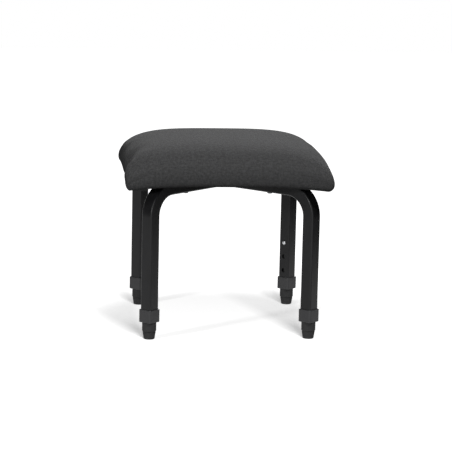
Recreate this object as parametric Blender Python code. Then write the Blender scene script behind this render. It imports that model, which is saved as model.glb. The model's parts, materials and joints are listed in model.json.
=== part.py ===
"""Musician stool: a padded seat on a crossed square-tube frame with four telescopic legs.

Units are metres and +Z is up. The origin is on the floor under the middle of the seat, whose front faces -Y.
The legs are drawn in, with each snap button in the top hole of its frame tube.
"""

import math

import bmesh
import bpy
from mathutils import Matrix, Vector

# Clearances
FIT_GAP = 0.0003  # between pieces that touch or slide on each other
BUTTON_CLEARANCE = 0.0007  # around a snap button in the frame tube's hole
CUT_OVERRUN = 0.001  # how far a cutter passes the face that it opens

# Frame of bent square tube
LEG_SPACING = 0.308  # between neighbouring leg axes, across and deep alike
FRAME_HEIGHT = 0.2995  # floor to the top of the crossed tubes
TUBE_SIDE = 0.025
TUBE_WALL = 0.002
TUBE_CORNER = 0.003  # outer corner radius
TUBE_BORE_CORNER = 0.001
BEND_RADIUS = 0.050  # of the tube's centreline
BEND_STEPS = 7

# Row of button holes in each frame leg
HOLE_PITCH = 0.029
HOLE_COUNT = 3

# Round foot, a turned rubber cup
FOOT_HEIGHT = 0.0327
FOOT_DIAMETER = 0.0273
FOOT_WAIST_DIAMETER = 0.0252
FOOT_TIP_DIAMETER = 0.0215
FOOT_SHOULDER_HEIGHT = 0.0165  # lower end of the straight part
FOOT_GROOVE_HEIGHT = 0.0136
FOOT_GROOVE_WIDTH = 0.0010
FOOT_GROOVE_DEPTH = 0.0008
FOOT_EDGE = 0.0015  # rounding of the edge that meets the floor
FOOT_LIP = 0.0008  # chamfer of the upper edge
FOOT_FLOOR = 0.008  # rubber under the washer
WASHER_THICKNESS = 0.0015
WASHER_HOLE = 0.008

# Square collar on the lower end of each frame leg
COLLAR_SIDE = 0.030
COLLAR_HEIGHT = 0.025
COLLAR_FLOOR = 0.004
COLLAR_CORNER = 0.004
COLLAR_CHAMFER = 0.0012

# Inner leg and its guide plug
INNER_LEG_DIAMETER = 0.020
INNER_LEG_WALL = 0.0015
INNER_LEG_LENGTH = 0.172
PLUG_HEAD = 0.008
PLUG_SPIGOT = 0.012
PLUG_CORNER = 0.002
PLUG_CHAMFER = 0.0015

# Snap button, one clip with its spring
BUTTON_DIAMETER = 0.0078
BUTTON_PROUD = 0.0025  # of the frame tube's face
BUTTON_DOME = 0.002
SPRING_THICKNESS = 0.0006
SPRING_WIDTH = 0.007
SPRING_PAD = 0.012  # height of the flat behind the button
SPRING_RISE = 0.033  # button axis to the middle of the spring's bend
SPRING_BEND = 0.003
SPRING_HEADROOM = 0.0033  # between the spring's bend and the guide plug

# Seat, from the frame up
SEAT_WIDTH = 0.397
SEAT_DEPTH = 0.394
SEAT_CROWN = 0.062  # seat board to the top of the cover
SEAT_SQUARENESS = 30.0  # exponent of the outline: higher is squarer
SEAT_DRAW_IN = 0.0021  # how far the middle of a side lies inside the corners
CROWN_SHOULDER = 4.17  # exponents of the crown's fall to the edge
CROWN_FALL = 0.415
EDGE_ROUND = 0.0107  # of the seat's lower edge
EDGE_PADDING = 0.016  # from the board's edge to the seat's outline
CORNER_DROOP = 0.0075  # how far the gathered corners hang under the edge
DROOP_POWER = 3
HEM_WIDTH = 0.030  # cloth turned under the board
COVER_THICKNESS = 0.0015
DUST_COVER_THICKNESS = 0.0008
BOARD_THICKNESS = 0.012
SEAT_SIDE_POINTS = 10
CROWN_RINGS = 8
EDGE_RINGS = 2

# Seat screws and T-nuts
SCREW_REACH = 0.116  # from the middle of the seat, along each arm
SCREW_DIAMETER = 0.006
SCREW_HEAD_DIAMETER = 0.011
SCREW_HEAD = 0.0032
SCREW_TIP_MARGIN = 0.002  # under the board's top
T_NUT_FLANGE_DIAMETER = 0.019
T_NUT_FLANGE = 0.0012
T_NUT_WALL = 0.0012
T_NUT_LENGTH = 0.009

# Fineness of round shapes
CORNER_STEPS = 3
ROUND_SIDES = 16
SMALL_SIDES = 12
DOME_STEPS = 3
SMOOTH_ANGLE = math.radians(35)

# Places that follow from the sizes above
HALF_SPACING = LEG_SPACING / 2
LEG_REACH = HALF_SPACING * math.sqrt(2)
TUBE_BORE = TUBE_SIDE - 2 * TUBE_WALL
ARM_HEIGHT = FRAME_HEIGHT - TUBE_SIDE / 2
ARM_UNDERSIDE = FRAME_HEIGHT - TUBE_SIDE
BEND_START = ARM_HEIGHT - BEND_RADIUS
COLLAR_BOTTOM = FOOT_HEIGHT + FIT_GAP
TUBE_END = COLLAR_BOTTOM + COLLAR_FLOOR + FIT_GAP
HOLE_DIAMETER = BUTTON_DIAMETER + 2 * BUTTON_CLEARANCE
WASHER_BOTTOM = FOOT_FLOOR + FIT_GAP
INNER_LEG_BOTTOM = WASHER_BOTTOM + WASHER_THICKNESS + FIT_GAP
INNER_LEG_TOP = INNER_LEG_BOTTOM + INNER_LEG_LENGTH
INNER_LEG_BORE = INNER_LEG_DIAMETER - 2 * INNER_LEG_WALL
PLUG_BOTTOM = INNER_LEG_TOP - PLUG_SPIGOT
SPRING_TOP = PLUG_BOTTOM - SPRING_HEADROOM
TOP_HOLE_HEIGHT = SPRING_TOP - SPRING_THICKNESS / 2 - SPRING_BEND - SPRING_RISE
DUST_COVER_BOTTOM = FRAME_HEIGHT + FIT_GAP
BOARD_BOTTOM = DUST_COVER_BOTTOM + DUST_COVER_THICKNESS + FIT_GAP
BOARD_TOP = BOARD_BOTTOM + BOARD_THICKNESS
HEM_BOTTOM = BOARD_BOTTOM - FIT_GAP - COVER_THICKNESS
HEM_INSET = EDGE_ROUND + HEM_WIDTH
SEAT_TOP = BOARD_TOP + SEAT_CROWN
SCREW_HEAD_TOP = ARM_UNDERSIDE - FIT_GAP
SCREW_TIP = BOARD_TOP - SCREW_TIP_MARGIN
T_NUT_BORE = SCREW_DIAMETER + 2 * FIT_GAP
T_NUT_BARREL = T_NUT_BORE + 2 * T_NUT_WALL
T_NUT_SEAT = BOARD_TOP - T_NUT_FLANGE - FIT_GAP

LEGS = {
    "front_left": (-1, -1),
    "front_right": (1, -1),
    "rear_left": (-1, 1),
    "rear_right": (1, 1),
}

# Colour, roughness and metallic value of each finish
FINISHES = {
    "woven_cover": ((0.055, 0.057, 0.065), 0.92, 0.0),
    "foam": ((0.72, 0.68, 0.52), 0.95, 0.0),
    "plywood": ((0.55, 0.38, 0.22), 0.7, 0.0),
    "dust_cloth": ((0.02, 0.02, 0.022), 0.95, 0.0),
    "black_powder_coat": ((0.016, 0.016, 0.018), 0.42, 0.0),
    "grey_plastic": ((0.045, 0.046, 0.05), 0.6, 0.0),
    "dark_rubber": ((0.03, 0.03, 0.032), 0.8, 0.0),
    "zinc_steel": ((0.62, 0.63, 0.65), 0.3, 1.0),
    "blackened_steel": ((0.03, 0.03, 0.032), 0.4, 0.0),
}


def clear_scene():
    for obj in list(bpy.data.objects):
        bpy.data.objects.remove(obj)


def finish(name):
    """The material of that name, made at its first use."""
    if name in bpy.data.materials:
        return bpy.data.materials[name]
    colour, roughness, metallic = FINISHES[name]
    material = bpy.data.materials.new(name)
    material.use_nodes = True
    shader = material.node_tree.nodes["Principled BSDF"]
    shader.inputs["Base Color"].default_value = (*colour, 1.0)
    shader.inputs["Roughness"].default_value = roughness
    shader.inputs["Metallic"].default_value = metallic
    return material


def add_object(name, bm, finish_name, parent=None, location=(0, 0, 0), turn=0.0):
    """Makes a named object of a mesh in its own frame, turned about Z and placed under its parent."""
    mesh = bpy.data.meshes.new(name)
    bm.to_mesh(mesh)
    bm.free()
    mesh.shade_smooth()
    mesh.set_sharp_from_angle(angle=SMOOTH_ANGLE)
    mesh.materials.append(finish(finish_name))
    obj = bpy.data.objects.new(name, mesh)
    bpy.context.scene.collection.objects.link(obj)
    obj.parent = parent
    obj.location = location
    obj.rotation_euler.z = turn
    return obj


def combine(obj, bm, operation):
    """Cuts a helper shape, given in the object's own frame, out of it, or joins it on."""
    helper = add_object(f"{obj.name}_{operation.lower()}", bm, obj.data.materials[0].name)
    helper.parent = obj.parent
    helper.matrix_basis = obj.matrix_basis.copy()
    helper.hide_render = True
    helper.display_type = "WIRE"
    boolean = obj.modifiers.new(operation.title(), "BOOLEAN")
    boolean.operation = operation
    boolean.solver = "EXACT"
    boolean.object = helper


def closed(bm):
    """Joins doubled points and turns every face outwards."""
    bmesh.ops.remove_doubles(bm, verts=bm.verts, dist=1e-6)
    bmesh.ops.recalc_face_normals(bm, faces=bm.faces)
    return bm


def around(radius, sides):
    """Corner radius of a polygon whose flats lie at this radius, for bores that must clear a shaft."""
    return radius / math.cos(math.pi / sides)


def circle(radius, sides):
    """Points of a circle, anticlockwise, in step with those of a rounded rectangle."""
    angles = [math.pi * (2 * i + 1) / sides for i in range(sides)]
    return [(radius * math.cos(angle), radius * math.sin(angle)) for angle in angles]


def rounded_rectangle(width, depth, radius):
    """Points of a rectangle with round corners, anticlockwise."""
    points = []
    for corner, (sign_x, sign_y) in enumerate(((1, 1), (-1, 1), (-1, -1), (1, -1))):
        for step in range(CORNER_STEPS + 1):
            angle = (corner + step / CORNER_STEPS) * math.pi / 2
            x = sign_x * (width / 2 - radius) + radius * math.cos(angle)
            y = sign_y * (depth / 2 - radius) + radius * math.sin(angle)
            points.append((x, y))
    return points


def at_height(outline, height):
    return [(x, y, height) for x, y in outline]


def join_loops(bm, low, high):
    """Skins the band between two loops of equally many points, every piece of it split the same way."""
    for i, point in enumerate(low):
        after = (i + 1) % len(low)
        bm.faces.new((point, low[after], high[after]))
        bm.faces.new((point, high[after], high[i]))


def close_loop(bm, loop, pole):
    """Closes a loop with a fan to one point."""
    centre = bm.verts.new(pole)
    for i, point in enumerate(loop):
        bm.faces.new((centre, point, loop[(i + 1) % len(loop)]))


def skin(bm, rings):
    """Skins rings of equally many points in their order and returns the first and the last loop."""
    loops = [[bm.verts.new(point) for point in ring] for ring in rings]
    for low, high in zip(loops, loops[1:]):
        join_loops(bm, low, high)
    return loops[0], loops[-1]


def capped_skin(rings, first_pole, last_pole):
    """A solid skinned over rings from one pole to the other."""
    bm = bmesh.new()
    first, last = skin(bm, rings)
    close_loop(bm, first, first_pole)
    close_loop(bm, last, last_pole)
    return closed(bm)


def prism(outline, bottom, top):
    """An upright solid of constant outline."""
    bm = bmesh.new()
    base = bm.faces.new([bm.verts.new(point) for point in at_height(outline, bottom)])
    run(bm, [base], (0, 0, top - bottom))
    return closed(bm)


def turned(profile, sides):
    """A solid turned about Z from (radius, height) points, from axis to axis or in a closed loop."""
    bm = bmesh.new()
    points = [bm.verts.new((radius, 0, height)) for radius, height in profile]
    edges = [bm.edges.new(pair) for pair in zip(points, points[1:])]
    if profile[0][0] > 0:
        edges.append(bm.edges.new((points[-1], points[0])))
    bmesh.ops.rotate(bm, verts=points, matrix=Matrix.Rotation(math.pi / sides, 3, "Z"))
    bmesh.ops.spin(bm, geom=points + edges, axis=(0, 0, 1), angle=2 * math.pi, steps=sides, use_merge=True)
    return closed(bm)


def add_rod(bm, radius, start, end, sides=SMALL_SIDES):
    """Adds a plain round rod from start to end."""
    start = Vector(start)
    along = Vector(end) - start
    place = Matrix.Translation(start + along / 2) @ along.to_track_quat("Z", "Y").to_matrix().to_4x4()
    bmesh.ops.create_cone(
        bm, cap_ends=True, segments=sides, radius1=radius, radius2=radius, depth=along.length, matrix=place
    )


def whole(faces):
    """The faces with all their edges and points, as the bmesh operators want them."""
    edges = {edge for face in faces for edge in face.edges}
    points = {point for face in faces for point in face.verts}
    return list(points) + list(edges) + list(faces)


def run(bm, faces, offset):
    """Extrudes an end face along a straight line and returns the new end."""
    grown = bmesh.ops.extrude_face_region(bm, geom=whole(faces))["geom"]
    moved = [item for item in grown if isinstance(item, bmesh.types.BMVert)]
    bmesh.ops.translate(bm, verts=moved, vec=offset)
    return [item for item in grown if isinstance(item, bmesh.types.BMFace)]


def bend(bm, faces, centre):
    """Carries an end face through a right angle about a level axis and returns the new end."""
    swept = bmesh.ops.spin(
        bm, geom=whole(faces), cent=centre, axis=(0, 1, 0), angle=math.pi / 2, steps=BEND_STEPS
    )
    return [item for item in swept["geom_last"] if isinstance(item, bmesh.types.BMFace)]


def tube_section(bm, place):
    """The ring-shaped cut end of the square tube."""
    edges = []
    for side, corner in ((TUBE_SIDE, TUBE_CORNER), (TUBE_BORE, TUBE_BORE_CORNER)):
        points = [bm.verts.new(place @ Vector((x, y, 0))) for x, y in rounded_rectangle(side, side, corner)]
        edges += [bm.edges.new(pair) for pair in zip(points, points[1:] + points[:1])]
    return bmesh.ops.bridge_loops(bm, edges=edges)["faces"]


def add_leg_holes(bm, side):
    """Cutters for the button holes in the leg at this end of a tube and for its seat screw."""
    face = LEG_REACH - TUBE_SIDE / 2
    radius = around(HOLE_DIAMETER / 2, SMALL_SIDES)
    for hole in range(HOLE_COUNT):
        height = TOP_HOLE_HEIGHT - hole * HOLE_PITCH
        start = (side * (face - CUT_OVERRUN), 0, height)
        end = (side * (face + TUBE_WALL + CUT_OVERRUN), 0, height)
        add_rod(bm, radius, start, end)
    add_rod(
        bm,
        around(SCREW_DIAMETER / 2 + FIT_GAP, SMALL_SIDES),
        (side * SCREW_REACH, 0, ARM_UNDERSIDE - CUT_OVERRUN),
        (side * SCREW_REACH, 0, FRAME_HEIGHT + CUT_OVERRUN),
    )


def leg_end(bm, faces):
    """Bends an arm's end down and runs it to the end of the leg."""
    faces = bend(bm, faces, (LEG_REACH - BEND_RADIUS, 0, BEND_START))
    run(bm, faces, (0, 0, TUBE_END - BEND_START))


def make_through_tube():
    """The U-shaped tube that runs through, from the front left leg to the rear right one."""
    bm = bmesh.new()
    faces = tube_section(bm, Matrix.Translation((-LEG_REACH, 0, TUBE_END)))
    faces = run(bm, faces, (0, 0, BEND_START - TUBE_END))
    faces = bend(bm, faces, (BEND_RADIUS - LEG_REACH, 0, BEND_START))
    faces = run(bm, faces, (2 * (LEG_REACH - BEND_RADIUS), 0, 0))
    leg_end(bm, faces)
    tube = add_object("frame_tube_through", closed(bm), "black_powder_coat", turn=math.pi / 4)
    holes = bmesh.new()
    add_leg_holes(holes, -1)
    add_leg_holes(holes, 1)
    combine(tube, holes, "DIFFERENCE")


def make_arm(name, turn):
    """A bent arm whose inner end is welded against the side of the through tube."""
    bm = bmesh.new()
    inner_end = TUBE_SIDE / 2 + FIT_GAP
    place = Matrix.Translation((inner_end, 0, ARM_HEIGHT)) @ Matrix.Rotation(math.pi / 2, 4, "Y")
    faces = tube_section(bm, place)
    faces = run(bm, faces, (LEG_REACH - BEND_RADIUS - inner_end, 0, 0))
    leg_end(bm, faces)
    arm = add_object(name, closed(bm), "black_powder_coat", turn=turn)
    holes = bmesh.new()
    add_leg_holes(holes, 1)
    combine(arm, holes, "DIFFERENCE")


def make_collar(leg_name, leg):
    """A square cup on the tube's end, with a round hole for the inner leg in its floor."""
    top = COLLAR_BOTTOM + COLLAR_HEIGHT
    shoulder = COLLAR_BOTTOM + COLLAR_FLOOR
    full = rounded_rectangle(COLLAR_SIDE, COLLAR_SIDE, COLLAR_CORNER)
    small_side = COLLAR_SIDE - 2 * COLLAR_CHAMFER
    eased = rounded_rectangle(small_side, small_side, COLLAR_CORNER - COLLAR_CHAMFER)
    socket_side = TUBE_SIDE + 2 * FIT_GAP
    socket = rounded_rectangle(socket_side, socket_side, TUBE_CORNER)
    hole = circle(around(INNER_LEG_DIAMETER / 2 + FIT_GAP, len(full)), len(full))
    rings = [
        at_height(eased, COLLAR_BOTTOM),
        at_height(full, COLLAR_BOTTOM + COLLAR_CHAMFER),
        at_height(full, top - COLLAR_CHAMFER),
        at_height(eased, top),
        at_height(socket, top),
        at_height(socket, shoulder),
        at_height(hole, shoulder),
        at_height(hole, COLLAR_BOTTOM),
    ]
    bm = bmesh.new()
    first, last = skin(bm, rings)
    join_loops(bm, last, first)
    add_object(f"leg_collar_{leg_name}", closed(bm), "grey_plastic", leg)


def make_foot(leg_name, leg):
    """A turned cup, straight above and tapered below its groove."""
    radius = FOOT_DIAMETER / 2
    waist = FOOT_WAIST_DIAMETER / 2
    tip = FOOT_TIP_DIAMETER / 2
    groove_top = FOOT_GROOVE_HEIGHT + FOOT_GROOVE_WIDTH
    socket = around(INNER_LEG_DIAMETER / 2 + FIT_GAP, ROUND_SIDES)
    profile = [
        (0, 0),
        (tip - FOOT_EDGE, 0),
        (tip, FOOT_EDGE),
        (waist, FOOT_GROOVE_HEIGHT),
        (waist - FOOT_GROOVE_DEPTH, FOOT_GROOVE_HEIGHT),
        (waist - FOOT_GROOVE_DEPTH, groove_top),
        (waist, groove_top),
        (radius, FOOT_SHOULDER_HEIGHT),
        (radius, FOOT_HEIGHT - FOOT_LIP),
        (radius - FOOT_LIP, FOOT_HEIGHT),
        (socket, FOOT_HEIGHT),
        (socket, FOOT_FLOOR),
        (0, FOOT_FLOOR),
    ]
    add_object(f"rubber_foot_{leg_name}", turned(profile, ROUND_SIDES), "dark_rubber", leg)


def make_washer(leg_name, leg):
    """The steel ring under the inner leg's end."""
    top = WASHER_BOTTOM + WASHER_THICKNESS
    outer = INNER_LEG_DIAMETER / 2
    inner = WASHER_HOLE / 2
    profile = [(outer, WASHER_BOTTOM), (outer, top), (inner, top), (inner, WASHER_BOTTOM)]
    add_object(f"foot_washer_{leg_name}", turned(profile, ROUND_SIDES), "zinc_steel", leg)


def make_inner_leg(leg_name, leg):
    """The round tube that slides in the frame leg, with a hole for the snap button."""
    outer = INNER_LEG_DIAMETER / 2
    inner = INNER_LEG_BORE / 2
    profile = [
        (outer, INNER_LEG_BOTTOM),
        (outer, INNER_LEG_TOP),
        (inner, INNER_LEG_TOP),
        (inner, INNER_LEG_BOTTOM),
    ]
    tube = add_object(f"inner_leg_{leg_name}", turned(profile, ROUND_SIDES), "black_powder_coat", leg)
    hole = bmesh.new()
    radius = around(BUTTON_DIAMETER / 2 + FIT_GAP, SMALL_SIDES)
    add_rod(hole, radius, (inner / 2, 0, TOP_HOLE_HEIGHT), (outer + CUT_OVERRUN, 0, TOP_HOLE_HEIGHT))
    combine(tube, hole, "DIFFERENCE")


def make_guide_plug(leg_name, leg):
    """The plug on the inner leg: a square head that runs in the frame tube, and a round spigot."""
    bottom = INNER_LEG_TOP + FIT_GAP
    top = bottom + PLUG_HEAD
    side = TUBE_BORE - 2 * FIT_GAP
    small_side = side - 2 * PLUG_CHAMFER
    full = rounded_rectangle(side, side, PLUG_CORNER)
    eased = rounded_rectangle(small_side, small_side, PLUG_CORNER)
    spigot = circle(INNER_LEG_BORE / 2 - FIT_GAP, len(full))
    rings = [
        at_height(spigot, PLUG_BOTTOM),
        at_height(spigot, bottom),
        at_height(full, bottom),
        at_height(full, top - PLUG_CHAMFER),
        at_height(eased, top),
    ]
    shape = capped_skin(rings, (0, 0, PLUG_BOTTOM), (0, 0, top))
    add_object(f"guide_plug_{leg_name}", shape, "grey_plastic", leg)


def strip(path, thickness, width):
    """A bent strip: a path in the XZ plane, given its thickness, and its width along Y."""
    path = [Vector(point) for point in path]
    ways = [(after - before).normalized() for before, after in zip(path, path[1:])]
    sides = [[], []]
    for i, point in enumerate(path):
        before = ways[max(i - 1, 0)]
        after = ways[min(i, len(ways) - 1)]
        across = Vector((-(before + after).y, (before + after).x)).normalized()
        reach = thickness / 2 / across.dot(Vector((-after.y, after.x)))
        sides[0].append(point + across * reach)
        sides[1].append(point - across * reach)
    bm = bmesh.new()
    outline = sides[0] + sides[1][::-1]
    face = bm.faces.new([bm.verts.new((point.x, -width / 2, point.y)) for point in outline])
    run(bm, [face], (0, width, 0))
    return closed(bm)


def make_snap_button(leg_name, leg):
    """The spring clip in the inner leg: a V of strip whose front arm carries the domed button."""
    flat = INNER_LEG_BORE / 2 * math.cos(math.pi / ROUND_SIDES)
    arm = math.sqrt(flat**2 - (SPRING_WIDTH / 2) ** 2) - FIT_GAP - SPRING_THICKNESS / 2
    pad = SPRING_PAD / 2
    turns = [math.pi * (1 - step / ROUND_SIDES * 2) for step in range(ROUND_SIDES // 2 + 1)]
    path = [(-arm, -pad), (-arm, pad)]
    path += [(SPRING_BEND * math.cos(a), SPRING_RISE + SPRING_BEND * math.sin(a)) for a in turns]
    path += [(arm, pad), (arm, -pad)]
    height = (0, 0, TOP_HOLE_HEIGHT)
    shape = strip(path, SPRING_THICKNESS, SPRING_WIDTH)
    clip = add_object(f"snap_button_{leg_name}", shape, "zinc_steel", leg, height)
    radius = BUTTON_DIAMETER / 2
    tip = TUBE_SIDE / 2 + BUTTON_PROUD
    domed = [math.pi / 2 * step / DOME_STEPS for step in range(1, DOME_STEPS)]
    profile = [(0, arm), (radius, arm), (radius, tip - BUTTON_DOME)]
    profile += [(radius * math.cos(a), tip - BUTTON_DOME * (1 - math.sin(a))) for a in domed]
    profile += [(0, tip)]
    button = turned(profile, SMALL_SIDES)
    bmesh.ops.rotate(button, verts=button.verts, matrix=Matrix.Rotation(math.pi / 2, 3, "Y"))
    combine(clip, button, "UNION")


def make_leg(leg_name, sign_x, sign_y):
    """One telescopic leg, built about its own axis with +X towards the middle of the stool."""
    leg = bpy.data.objects.new(f"leg_{leg_name}", None)
    bpy.context.scene.collection.objects.link(leg)
    leg.location = (sign_x * HALF_SPACING, sign_y * HALF_SPACING, 0)
    leg.rotation_euler.z = math.atan2(-sign_y, -sign_x)
    for make in (make_collar, make_foot, make_washer, make_inner_leg, make_guide_plug, make_snap_button):
        make(leg_name, leg)


def square_walk():
    """Points round the edge of the square of half side 1, closest together at its corners."""
    steps = range(-SEAT_SIDE_POINTS, SEAT_SIDE_POINTS, 2)
    side = [math.sin(math.pi / 2 * step / SEAT_SIDE_POINTS) for step in steps]
    walk = []
    for turn in range(4):
        quarter = Matrix.Rotation(turn * math.pi / 2, 2)
        walk += [quarter @ Vector((1, along)) for along in side]
    return walk


def cornerness(place):
    """0 on the lines through the middle of the sides and 1 at a corner."""
    return abs(place.x * place.y)


def on_seat(place, inset):
    """A place in the square laid out on the seat, whose corners are round and whose sides are drawn in."""
    corner = cornerness(place)
    scale = (1 + corner**SEAT_SQUARENESS) ** (-1 / SEAT_SQUARENESS)
    drawn = SEAT_DRAW_IN * (1 - corner**2)
    x = place.x * scale * (SEAT_WIDTH / 2 - inset - drawn)
    y = place.y * scale * (SEAT_DEPTH / 2 - inset - drawn)
    return x, y


def seat_outline(inset):
    return [on_seat(place, inset) for place in square_walk()]


def edge_height(place):
    """Height of the fullest line of the seat's edge, lower towards the corners."""
    return HEM_BOTTOM + EDGE_ROUND - CORNER_DROOP * cornerness(place) ** DROOP_POWER


def crown_point(place, depth):
    """A point of the seat's crown, this deep under the outer face."""
    fall_x = max(0.0, 1 - abs(place.x) ** CROWN_SHOULDER)
    fall_y = max(0.0, 1 - abs(place.y) ** CROWN_SHOULDER)
    edge = edge_height(place)
    return *on_seat(place, depth), edge + (SEAT_TOP - depth - edge) * (fall_x * fall_y) ** CROWN_FALL


def crown_rings(depth):
    """Rings over the seat's crown from its middle to its edge."""
    reaches = [1 - (1 - step / CROWN_RINGS) ** 2 for step in range(1, CROWN_RINGS + 1)]
    return [[crown_point(reach * place, depth) for place in square_walk()] for reach in reaches]


def edge_rings(depth):
    """Rings round the seat's lower edge, from under its fullest line to the underside."""
    radius = EDGE_ROUND - depth
    rings = []
    for step in range(1, EDGE_RINGS + 1):
        angle = math.pi / 2 * step / EDGE_RINGS
        inset = depth + radius * (1 - math.cos(angle))
        drop = radius * math.sin(angle)
        rings.append([(*on_seat(place, inset), edge_height(place) - drop) for place in square_walk()])
    return rings


def make_cover():
    """The cloth cover: a thin skin over the crown, round the edge and turned under the board."""
    hem = seat_outline(HEM_INSET)
    outside = crown_rings(0) + edge_rings(0) + [at_height(hem, HEM_BOTTOM)]
    inside = crown_rings(COVER_THICKNESS) + edge_rings(COVER_THICKNESS)
    inside += [at_height(hem, HEM_BOTTOM + COVER_THICKNESS)]
    bm = bmesh.new()
    hem_edges = []
    for rings, top in ((outside, SEAT_TOP), (inside, SEAT_TOP - COVER_THICKNESS)):
        first, last = skin(bm, rings)
        close_loop(bm, first, (0, 0, top))
        hem_edges.append(last)
    join_loops(bm, *hem_edges)
    add_object("seat_cover", closed(bm), "woven_cover")


def make_foam():
    """The crowned pad on the board, with a lip over the board's edge."""
    depth = COVER_THICKNESS + FIT_GAP
    recess = seat_outline(EDGE_PADDING - FIT_GAP)
    floor = BOARD_TOP + FIT_GAP
    rings = crown_rings(depth) + edge_rings(depth)[:-1]
    rings += [at_height(recess, BOARD_BOTTOM), at_height(recess, floor)]
    add_object("seat_foam", capped_skin(rings, (0, 0, SEAT_TOP - depth), (0, 0, floor)), "foam")


def screw_places():
    offset = SCREW_REACH / math.sqrt(2)
    return {name: (sign_x * offset, sign_y * offset) for name, (sign_x, sign_y) in LEGS.items()}


def make_board():
    """The plywood board, with a stepped hole for each T-nut."""
    board = add_object("seat_board", prism(seat_outline(EDGE_PADDING), BOARD_BOTTOM, BOARD_TOP), "plywood")
    flange = around(T_NUT_FLANGE_DIAMETER / 2 + FIT_GAP, SMALL_SIDES)
    barrel = around(T_NUT_BARREL / 2, SMALL_SIDES) + FIT_GAP
    step = T_NUT_SEAT - FIT_GAP
    bottom = BOARD_BOTTOM - CUT_OVERRUN
    top = BOARD_TOP + CUT_OVERRUN
    profile = [(0, bottom), (barrel, bottom), (barrel, step), (flange, step), (flange, top), (0, top)]
    for place in screw_places().values():
        hole = turned(profile, SMALL_SIDES)
        bmesh.ops.translate(hole, verts=hole.verts, vec=(*place, 0))
        combine(board, hole, "DIFFERENCE")


def make_dust_cover():
    """The thin cloth under the board, inside the cover's hem."""
    outline = seat_outline(HEM_INSET + FIT_GAP)
    top = DUST_COVER_BOTTOM + DUST_COVER_THICKNESS
    cloth = add_object("dust_cover", prism(outline, DUST_COVER_BOTTOM, top), "dust_cloth")
    holes = bmesh.new()
    radius = around(SCREW_DIAMETER / 2 + FIT_GAP, SMALL_SIDES)
    for x, y in screw_places().values():
        add_rod(holes, radius, (x, y, DUST_COVER_BOTTOM - CUT_OVERRUN), (x, y, top + CUT_OVERRUN))
    combine(cloth, holes, "DIFFERENCE")


def make_screw(leg_name, x, y):
    """A round-headed screw up through the arm and the board into its T-nut."""
    head = SCREW_HEAD_DIAMETER / 2
    shank = SCREW_DIAMETER / 2
    domed = [math.pi / 2 * step / DOME_STEPS for step in range(1, DOME_STEPS + 1)]
    profile = [(0, SCREW_HEAD_TOP - SCREW_HEAD)]
    profile += [(head * math.sin(a), SCREW_HEAD_TOP - SCREW_HEAD * math.cos(a)) for a in domed]
    profile += [(shank, SCREW_HEAD_TOP), (shank, SCREW_TIP), (0, SCREW_TIP)]
    shape = turned(profile, SMALL_SIDES)
    add_object(f"seat_screw_{leg_name}", shape, "blackened_steel", location=(x, y, 0))


def make_t_nut(leg_name, x, y):
    """A flanged nut sunk in the board's upper face."""
    bore = around(T_NUT_BORE / 2, SMALL_SIDES)
    barrel = around(T_NUT_BARREL / 2, SMALL_SIDES)
    flange = T_NUT_FLANGE_DIAMETER / 2
    top = T_NUT_SEAT + T_NUT_FLANGE
    bottom = top - T_NUT_LENGTH
    profile = [
        (bore, bottom),
        (barrel, bottom),
        (barrel, T_NUT_SEAT),
        (flange, T_NUT_SEAT),
        (flange, top),
        (bore, top),
    ]
    add_object(f"t_nut_{leg_name}", turned(profile, SMALL_SIDES), "zinc_steel", location=(x, y, 0))


def main():
    clear_scene()
    make_through_tube()
    make_arm("frame_arm_front_right", -math.pi / 4)
    make_arm("frame_arm_rear_left", 3 * math.pi / 4)
    for leg_name, (sign_x, sign_y) in LEGS.items():
        make_leg(leg_name, sign_x, sign_y)
    make_board()
    make_dust_cover()
    make_foam()
    make_cover()
    for leg_name, (x, y) in screw_places().items():
        make_screw(leg_name, x, y)
        make_t_nut(leg_name, x, y)


main()
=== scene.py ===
"""Looks of a musician stool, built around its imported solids.

The file is laid out as an add-on: sizes and colours are properties, each group of like pieces has an operator, and a
sidebar panel lists them. Run as a script, it builds the whole stool on its stage. Units are metres and +Z is up.
"""

import json
import math
from contextlib import contextmanager

import bmesh
import bpy
import numpy as np
from bpy.props import FloatProperty, FloatVectorProperty, IntProperty, PointerProperty
from mathutils import Matrix, Vector


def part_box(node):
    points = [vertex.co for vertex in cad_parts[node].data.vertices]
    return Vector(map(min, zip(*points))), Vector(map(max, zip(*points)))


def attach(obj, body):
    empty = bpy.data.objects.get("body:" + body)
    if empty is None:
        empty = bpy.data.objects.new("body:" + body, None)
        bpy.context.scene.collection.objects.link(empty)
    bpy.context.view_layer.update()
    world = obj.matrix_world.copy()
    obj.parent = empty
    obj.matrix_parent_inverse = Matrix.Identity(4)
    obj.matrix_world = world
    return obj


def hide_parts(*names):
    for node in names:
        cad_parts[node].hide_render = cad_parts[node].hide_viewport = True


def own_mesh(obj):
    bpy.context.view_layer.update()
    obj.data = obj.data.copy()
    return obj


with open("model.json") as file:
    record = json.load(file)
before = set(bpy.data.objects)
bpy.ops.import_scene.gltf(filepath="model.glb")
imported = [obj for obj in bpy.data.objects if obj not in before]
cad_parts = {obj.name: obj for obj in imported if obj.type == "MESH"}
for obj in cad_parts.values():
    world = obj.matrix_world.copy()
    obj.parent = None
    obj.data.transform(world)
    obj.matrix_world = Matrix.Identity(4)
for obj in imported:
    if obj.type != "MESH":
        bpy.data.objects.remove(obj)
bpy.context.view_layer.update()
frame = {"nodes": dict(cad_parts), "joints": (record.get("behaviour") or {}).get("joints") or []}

bl_info = {
    "name": "Musician Stool",
    "version": (1, 0, 0),
    "blender": (4, 5, 0),
    "location": "3D View > Sidebar > Stool",
    "description": "Dresses the solids of a musician stool in its cloth, coating, plastic and rubber",
    "category": "Object",
}

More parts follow.
